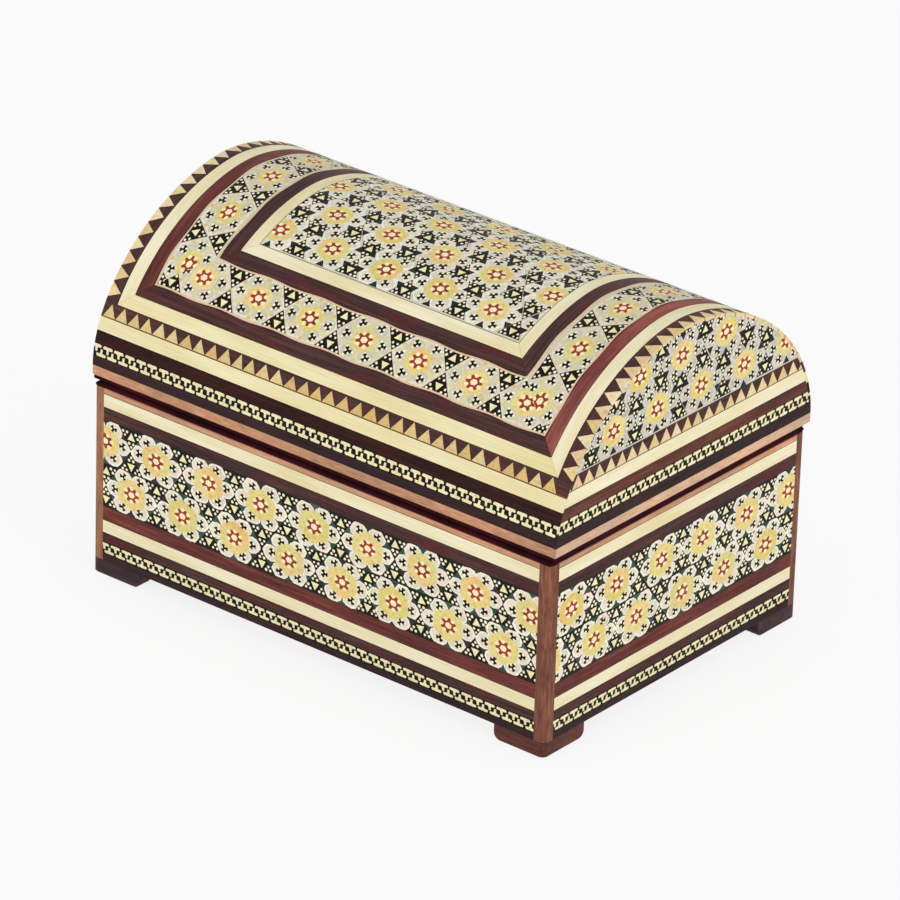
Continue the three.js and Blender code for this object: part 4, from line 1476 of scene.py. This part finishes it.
                    far = edge + inward * (high - bulge)[:, None]
                    band.lay(np.concatenate([near, far[::-1]]), tint, TESSERA, home)
        band.build("lid", "star_marquetry", "lid_khatam_band")

    def build_field(self) -> None:
        """Builds the star field in the middle of the barrel."""
        z = self.sizes
        x, low, high = z.out[6], z.up[6], BARREL.length - z.up[6]
        panel = Panel("lid_star_field", BARREL, [rectangle(-x, low, x, high)], (0, z.inlay), lines=2.2)
        panel.cover("#d5cfbd", PEARL)
        pattern = Khatam(70, Ornament.STARS, dot=0.41, tone=(1.06, 1.05, 0.98), greens=STAR_TIPS)
        pattern.rows([(Laying(panel, (0.0, height)), phase) for height, phase in self.field_rows], (-x, x))
        panel.build("lid", "star_marquetry", "lid_khatam_field")

    def build_end(self, side: str, number: int) -> None:
        """Builds the strips and the star sheet of one arched end.

        Args:
            side: left or right.
            number: the end's number, for its own unevenness.
        """
        z = self.sizes
        rim, bone_from, zigzag_from, star_from = z.end_up
        reach = z.half_width

        def strip(name: str, low: float, high: float) -> Panel:
            """Starts a panel between two heights."""
            outline = BARREL.outline(z.inlay, low, high)
            return Panel(f"lid_{side}_{name}", LID_ENDS[side], [outline], (0, z.inlay))

        chained = strip("chain_line", rim, bone_from)
        chained.cover("#3c2429", BROWN_ROSEWOOD)
        Chain(24 + number).line(Laying(chained, (-0.9 - reach, z.end_chain_up)), 2 * reach + 1.4)
        chained.build("lid", "chain_strip", f"lid_{side}_chain_strip")
        bone = strip("bone", bone_from, zigzag_from)
        build_bone(bone, BONE, (reach, bone_from, zigzag_from), "lid", f"lid_{side}_ivory")
        teeth = strip("triangles", zigzag_from, star_from)
        teeth.cover("#3e262c", DARK_ROSEWOOD)
        row = Zigzag(44 + number, height=star_from - zigzag_from, lights=PALE_LIGHTS, edge=0.12)
        row.row(Laying(teeth, (-reach, zigzag_from)), 2 * reach, 1.2)
        teeth.build("lid", "triangle_inlay", f"lid_{side}_zigzag")
        sheet = strip("star_mosaic", star_from, z.height)
        sheet.cover("#cfcabc", PEARL)
        pattern = Khatam(80 + number, Ornament.STARS, dot=0.4, tone=(0.83, 0.81, 0.79), greens=STAR_TIPS)
        rows = [(Laying(sheet, (0.0, height)), phase) for height, phase in self.end_rows[side]]
        pattern.rows(rows, (-reach, reach))
        sheet.build("lid", "star_marquetry", f"lid_{side}_khatam")


def slab(shown: np.ndarray, hidden: np.ndarray) -> tuple[np.ndarray, list[list[int]]]:
    """Closes two grids of points, one behind the other, into a thin solid.

    Args:
        shown: rows x columns x 3, with columns to the right and rows upwards as seen from its own side.
        hidden: the grid behind it.

    Returns:
        The points and faces.
    """
    rows, columns = shown.shape[:2]
    number = np.arange(rows * columns).reshape(rows, columns)
    quads = np.stack([number[:-1, :-1], number[:-1, 1:], number[1:, 1:], number[1:, :-1]], axis=-1)
    quads = quads.reshape(-1, 4)
    rim = np.concatenate([number[0, :-1], number[:-1, -1], number[-1, :0:-1], number[:0:-1, 0]])
    behind = rows * columns
    walls = np.stack([rim, rim + behind, np.roll(rim, -1) + behind, np.roll(rim, -1)], axis=1)
    faces = np.concatenate([quads, quads[:, ::-1] + behind, walls])
    return np.concatenate([shown.reshape(-1, 3), hidden.reshape(-1, 3)]), faces.tolist()


def waves(first: np.ndarray, second: np.ndarray, seed: int, size: float) -> np.ndarray:
    """Returns soft hand-made unevenness: the sum of five sine waves of 15 to 60 mm in chance directions."""
    rng = np.random.default_rng(seed)
    total = np.zeros(np.broadcast(first, second).shape)
    for _ in range(5):
        angle, length, phase = rng.uniform(0, math.pi), rng.uniform(15, 60), rng.uniform(0, 2 * math.pi)
        along = first * math.cos(angle) + second * math.sin(angle)
        total = total + np.sin(along * 2 * math.pi / length + phase)
    return total * size / 5


# How a cloth's fold over the rim is rounded: two points, inwards and upwards from its corner.
FOLD_IN, FOLD_UP = np.array([0.35, 0.8]), np.array([0.08, 0.45])


@dataclass
class Lining:
    """The velvet lining: a floor pad, four wall cloths turned out over the rim, and three lid cloths."""

    pile: float = 1.0
    off_wood: float = 0.03
    rim_set_in: float = 0.3
    case_rim: float = 1.0
    lid_rim: float = 0.9
    step: float = 2.5
    swell: float = 0.16

    def cloth(self, name: str, body: str, grids: Sequence[np.ndarray]) -> bpy.types.Object:
        """Closes a shown and a hidden grid into a piece of velvet that stands for its body's lining."""
        points, faces = slab(*grids)
        return make_piece(name, points, faces, [VELVET], body, [f"{body}_lining"], smooth=50)

    def build(self) -> None:
        """Builds every piece of the lining."""
        self.build_floor_pad()
        for number, (name, turn) in enumerate((("front", 0), ("right", 90), ("back", 180), ("left", 270))):
            self.build_wall_cloth(name, turn, number)
        self.build_vault_cloth()
        for number, side in enumerate((-1, 1)):
            self.build_end_cloth(side, number)

    def build_floor_pad(self) -> None:
        """Builds the floor pad: crowned, round at its edge, flat below, and pressed in between the walls.

        With u and v from -1 to 1, its height is low + edge * sqrt(1 - max(u, v)^24) + crown * swell, where
        swell is (1 - u^4) * (1 - v^4).
        """
        low, edge, crown, uneven = 0.45, 0.65, 1.1, 0.22
        half_x = CASE.half_length - CASE.wall - self.pile + 0.05
        half_y = CASE.half_width - CASE.wall - self.pile + 0.05
        base = CASE.bottom + CASE.base + self.off_wood
        u = np.sin(np.linspace(-math.pi / 2, math.pi / 2, 61))[None, :]
        v = np.sin(np.linspace(-math.pi / 2, math.pi / 2, 45))[:, None]
        x = half_x * u + 0 * v
        y = half_y * v + 0 * u
        swell = (1 - u ** 4) * (1 - v ** 4)
        round_edge = np.sqrt(np.clip(1 - np.maximum(np.abs(u), np.abs(v)) ** 24, 0, 1))
        height = low + edge * round_edge + crown * swell + waves(x, y, 5, uneven) * swell
        shown = np.stack([x, y + CASE.middle_y, base + height], axis=-1)
        hidden = np.stack([x * 0.996, y * 0.996 + CASE.middle_y, np.full_like(x, base)], axis=-1)
        pad = self.cloth("case_floor_pad", "case", (shown, hidden))

    def build_wall_cloth(self, name: str, turn: int, number: int) -> None:
        """Builds one wall's cloth: up the wall, round the edge and out over the rim, mitred at its ends.

        Args:
            name: the wall's name.
            turn: how far the front wall's cloth turns to lie on it, in degrees.
            number: the wall's number, for its own unevenness.
        """
        along, across = ((CASE.half_length, CASE.half_width) if turn % 180 == 0 else
                         (CASE.half_width, CASE.half_length))
        low = CASE.bottom + CASE.base + 0.1
        wall, top = CASE.wall + self.off_wood, CASE.top + self.off_wood
        bend = np.radians(np.linspace(0, 90, 7))
        climb = np.linspace(low, CASE.top + 0.1, 18)
        r = self.pile - 0.1
        skin_in = np.concatenate([np.full(len(climb), wall + self.pile), wall + 0.1 + r * np.cos(bend[1:]),
                                  np.linspace(wall - 1, self.rim_set_in + 0.3, 4), [self.rim_set_in]])
        skin_up = np.concatenate([climb, CASE.top + 0.1 + r * np.sin(bend[1:]),
                                  np.full(4, CASE.top + self.case_rim), [CASE.top + 0.7 * self.case_rim]])
        back_in = np.concatenate([np.full(len(climb), wall), np.full(6, wall),
                                  np.linspace(wall - 1, self.rim_set_in + 0.3, 4), [self.rim_set_in + 0.1]])
        back_up = np.concatenate([np.minimum(climb, top), np.full(6, top), np.full(5, top)])
        u = np.linspace(-1, 1, int(2 * along / self.step))[None, :]
        grids = []
        for inward, up, size in ((skin_in, skin_up, self.swell), (back_in, back_up, 0.0)):
            x = u * (along - inward[:, None] - 0.05)
            soft = waves(x, up[:, None], 20 + number, size) * (np.arange(len(up)) < len(climb))[:, None]
            y = -(across - inward[:, None] - soft)
            flat = turned(np.column_stack([x.ravel(), y.ravel()]), turn).reshape(*x.shape, 2)
            height = np.broadcast_to(up[:, None], x.shape)
            grids.append(np.stack([flat[..., 0], flat[..., 1] + CASE.middle_y, height], axis=-1))
        cloth = self.cloth(f"case_{name}_velvet", "case", [grid[:, ::-1] for grid in grids])

    def build_vault_cloth(self) -> None:
        """Builds the cloth under the barrel: from the back edge over the arch and out under the front."""
        sizes = LID
        depth = sizes.rim_width + self.off_wood
        s = np.linspace(0, BARREL.length, 90)
        under, inner = BARREL.arch(s, depth), BARREL.arch(s, depth + self.pile)
        straight = s < sizes.straight
        for skin in (under, inner):
            skin[straight, 1] = s[straight]
            skin[straight[::-1], 1] = s[straight][::-1]
        low = -self.lid_rim
        set_in = sizes.half_width - self.rim_set_in
        out = np.linspace(-set_in, depth - sizes.half_width - 0.6, 5)
        edge = depth - sizes.half_width
        shown = np.concatenate([
            np.column_stack([out, np.full(5, low)]), np.column_stack([edge + FOLD_IN, low + FOLD_UP]),
            inner, [(inner[-1, 0], low)]])
        hidden = np.concatenate([
            np.column_stack([out, np.full(5, -self.off_wood)]), [(edge, -self.off_wood)] * 2,
            under, [(under[-1, 0], low)]])
        half = sizes.half_length - depth
        turn = np.clip((depth + FOLD_IN[1] - (shown[:, 0] + sizes.half_width)) / depth, 0, 1)
        turn[8:] = 0
        x = np.linspace(-1, 1, 60)[None, :]
        grids = []
        for skin, size in ((shown, self.swell), (hidden, 0.0)):
            reach = (half + turn * (depth - self.rim_set_in))[:, None]
            place = np.stack([x * reach, np.broadcast_to(skin[:, :1], (len(skin), 60)),
                              np.broadcast_to(skin[:, 1:], (len(skin), 60))], axis=-1)
            lift = waves(place[..., 0], np.arange(len(skin))[:, None] * 1.8, 31, size)
            place[8:-2, :, 2] += lift[8:-2]
            grids.append(place + (0, sizes.middle_y, sizes.bottom))
        cloth = self.cloth("lid_vault_velvet", "lid", [grid[:, ::-1] for grid in grids])

    def build_end_cloth(self, side: int, number: int) -> None:
        """Builds the cloth on one arched end: down the end board and out under the rim.

        Args:
            side: -1 for the left end, 1 for the right.
            number: the end's number, for its own unevenness.
        """
        sizes = LID
        depth = sizes.rim_width + self.off_wood
        arch = BARREL.arch(np.linspace(BARREL.length / 2, BARREL.length, 400), depth + self.pile + 0.1)
        heights, reaches = arch[::-1, 1], arch[::-1, 0]
        top = float(heights[np.searchsorted(-reaches, -3.0) - 1])
        climb = top * np.sin(np.linspace(0, math.pi / 2, 26))
        low = -self.lid_rim
        out = np.linspace(self.rim_set_in, depth - 0.6, 4)
        skin = np.full(len(climb), depth + self.pile)
        shown_in = np.concatenate([out, depth + FOLD_IN, skin])
        shown_up = np.concatenate([np.full(4, low), low + FOLD_UP, climb])
        back_in = np.concatenate([out, [depth, depth], np.full(len(climb), depth)])
        back_up = np.concatenate([np.full(6, -self.off_wood), climb])
        reach = np.interp(np.maximum(shown_up, heights[0]), heights, reaches)
        front = np.where(shown_up < 0, sizes.half_width - shown_in - 0.05, reach)
        back = np.where(shown_up < 0, sizes.half_width - depth - 0.1, reach)
        w = np.linspace(0, 1, 40)[None, :]
        y = -front[:, None] + w * (front + back)[:, None]
        grids = []
        for inward, up, size in ((shown_in, shown_up, self.swell), (back_in, back_up, 0.0)):
            soft = waves(y, up[:, None], 40 + number, size) * (up > 1)[:, None]
            x = side * (sizes.half_length - inward[:, None] - soft)
            height = np.broadcast_to(up[:, None], y.shape)
            grids.append(np.stack([x, y + sizes.middle_y, sizes.bottom + height], axis=-1))
        if side > 0:
            grids = [grid[:, ::-1] for grid in grids]
        name = "left" if side < 0 else "right"
        cloth = self.cloth(f"lid_{name}_velvet", "lid", grids)


@dataclass
class Hinge:
    """The brass hinge along the back: the frame's leaves and pin, and small slotted screws in the leaves."""

    screws: int = 5
    reach: float = 66.0
    head: float = 0.85
    row_y: float = 51.35
    leaf: float = 0.5

    def build(self) -> None:
        """Dresses the leaves and the pin, and builds the screws."""
        for node in ("hinge_case_leaf", "hinge_lid_leaf", "hinge_pin"):
            dress_node(node, BRASS)
        for body, height, up in (("case", CASE.top + self.leaf, 1), ("lid", LID.bottom - self.leaf, -1)):
            for number, x in enumerate(np.linspace(-self.reach, self.reach, self.screws)):
                name = f"{body}_hinge_screw_{number + 1}"
                self.build_screw(name, body, float(x), height, up, number * 37)

    def build_screw(self, name: str, body: str, x: float, height: float, up: int, turn: float) -> None:
        """Builds one screw head: a low dome with a slot across it.

        Args:
            name: the piece's name.
            body: the body that it rides on.
            x: where along the hinge it is.
            height: the level of the leaf's face.
            up: 1 where the face looks up, -1 where it looks down.
            turn: how far the slot is turned, in degrees.
        """
        slot = 0.1
        radius, level = np.array([(1, -0.12), (1, 0.0), (0.82, 0.09), (0.45, 0.15)]).T
        edge = np.radians(np.linspace(-80, 80, 11))
        across = np.maximum(self.head * radius[:, None] * np.cos(edge), slot).ravel()
        along = (self.head * radius[:, None] * np.sin(edge)).ravel()
        heights = height + up * np.repeat(level, len(edge))
        skin = ring_faces(len(radius), len(edge), False)
        halves = []
        for sign in (-1, 1):
            flat = turned(np.stack([across * sign, along * sign], axis=1), turn)
            halves.append(np.column_stack([x + flat[:, 0], self.row_y + flat[:, 1] * up, heights]))
        faces = skin + [[i + len(heights) for i in face] for face in skin]
        make_piece(name, np.concatenate(halves), faces, [BRASS], body, smooth=30)


@dataclass
class Studio:
    """Pale floor, soft light and the camera at the photograph's angle.

    place is where the camera is, in mm. world is the strength of the white surroundings, paper the share
    of light that the floor sends back, and glow the share of plain white that the camera sees in it.
    """

    azimuth: float = 38.7465
    elevation: float = 26.5494
    roll: float = 1.8158
    place: tuple[float, float, float] = (1144.908, -1425.763, 957.641)
    lens: float = 300.0
    world: float = 0.62
    paper: float = 0.86
    glow: float = 0.85

    def build(self) -> None:
        """Makes the camera, the floor and the lights."""
        self.make_camera()
        self.make_floor()
        self.make_lights()
        view = bpy.context.scene.view_settings
        view.view_transform = "Standard"

    def make_camera(self) -> None:
        """Makes the camera.

        Its back direction is (sin a cos e, -cos a cos e, sin e), for azimuth a and elevation e, and it is
        rolled about that.
        """
        a, e, r = (math.radians(value) for value in (self.azimuth, self.elevation, self.roll))
        back = Vector((math.sin(a) * math.cos(e), -math.cos(a) * math.cos(e), math.sin(e)))
        level = Vector((math.cos(a), math.sin(a), 0))
        upright = back.cross(level)
        right = level * math.cos(r) + upright * math.sin(r)
        up = upright * math.cos(r) - level * math.sin(r)
        data = bpy.data.cameras.new("photo_camera")
        data.lens = self.lens
        data.sensor_width = 36.0
        data.clip_start = 0.05
        data.clip_end = 30.0
        camera = add_object("photo_camera", data)
        axes = Matrix((right, up, back)).transposed()
        camera.matrix_world = Matrix.Translation(Vector(self.place) * MM) @ axes.to_4x4()
        bpy.context.scene.camera = camera

    def seen(self, tree: bpy.types.NodeTree) -> bpy.types.Node:
        """Returns 1 for rays from the camera, in a reflection or through glass, and 0 for others."""
        path = add_node(tree, "ShaderNodeLightPath")
        first = add_node(tree, "ShaderNodeMath", {
            0: path.outputs["Is Camera Ray"], 1: path.outputs["Is Glossy Ray"]}, operation="MAXIMUM")
        return add_node(tree, "ShaderNodeMath", {
            0: first, 1: path.outputs["Is Transmission Ray"]}, operation="MAXIMUM")

    def make_floor(self) -> None:
        """Makes a wide pale floor that shows nearly white and keeps the shadow."""
        size = 3.0
        mesh = bpy.data.meshes.new("studio_floor")
        mesh.from_pydata([(-size, -size, 0), (size, -size, 0), (size, size, 0), (-size, size, 0)], [],
                         [(0, 1, 2, 3)])
        floor = add_object("studio_floor", mesh)
        made = bpy.data.materials.new("studio_paper")
        tree = fresh_tree(made)
        paper = add_node(tree, "ShaderNodeBsdfDiffuse", {"Color": (self.paper,) * 3 + (1,)})
        glow = add_node(tree, "ShaderNodeEmission", {"Color": (1, 1, 1, 1), "Strength": 1.0})
        share = add_node(tree, "ShaderNodeMath", {0: self.seen(tree), 1: self.glow}, operation="MULTIPLY")
        mixed = add_node(tree, "ShaderNodeMixShader", {0: share, 1: paper, 2: glow})
        add_node(tree, "ShaderNodeOutputMaterial", {"Surface": mixed})
        mesh.materials.append(made)

    def make_lights(self) -> None:
        """Makes the white surroundings and three soft lamps."""
        world = bpy.data.worlds.new("studio_white")
        bpy.context.scene.world = world
        tree = fresh_tree(world)
        soft = add_node(tree, "ShaderNodeBackground", {"Color": (1, 1, 1, 1), "Strength": self.world})
        plain = add_node(tree, "ShaderNodeBackground", {"Color": (1, 1, 1, 1), "Strength": 1.0})
        mixed = add_node(tree, "ShaderNodeMixShader", {0: self.seen(tree), 1: soft, 2: plain})
        add_node(tree, "ShaderNodeOutputWorld", {"Surface": mixed})
        for name, place, size, power in (("key_lamp", (-0.6, -2.0, 0.4), 1.2, 15.0),
                                         ("side_lamp", (2.0, -0.3, 0.5), 1.2, 16.0),
                                         ("top_lamp", (0.1, 0.3, 1.9), 1.2, 4.0)):
            data = bpy.data.lights.new(name, "AREA")
            data.shape = "DISK"
            data.size = size
            data.energy = power
            aim = (Vector((0, 0, 0.05)) - Vector(place)).to_track_quat("-Z", "Y").to_matrix().to_4x4()
            add_object(name, data).matrix_world = Matrix.Translation(place) @ aim


def main() -> None:
    """Builds the box's looks in order."""
    logging.basicConfig(level=logging.INFO, format="%(name)s %(message)s")
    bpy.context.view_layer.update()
    Studio().build()
    Case().build()
    Lid().build()
    Lining().build()
    Hinge().build()


if __name__ == "__main__":
    main()
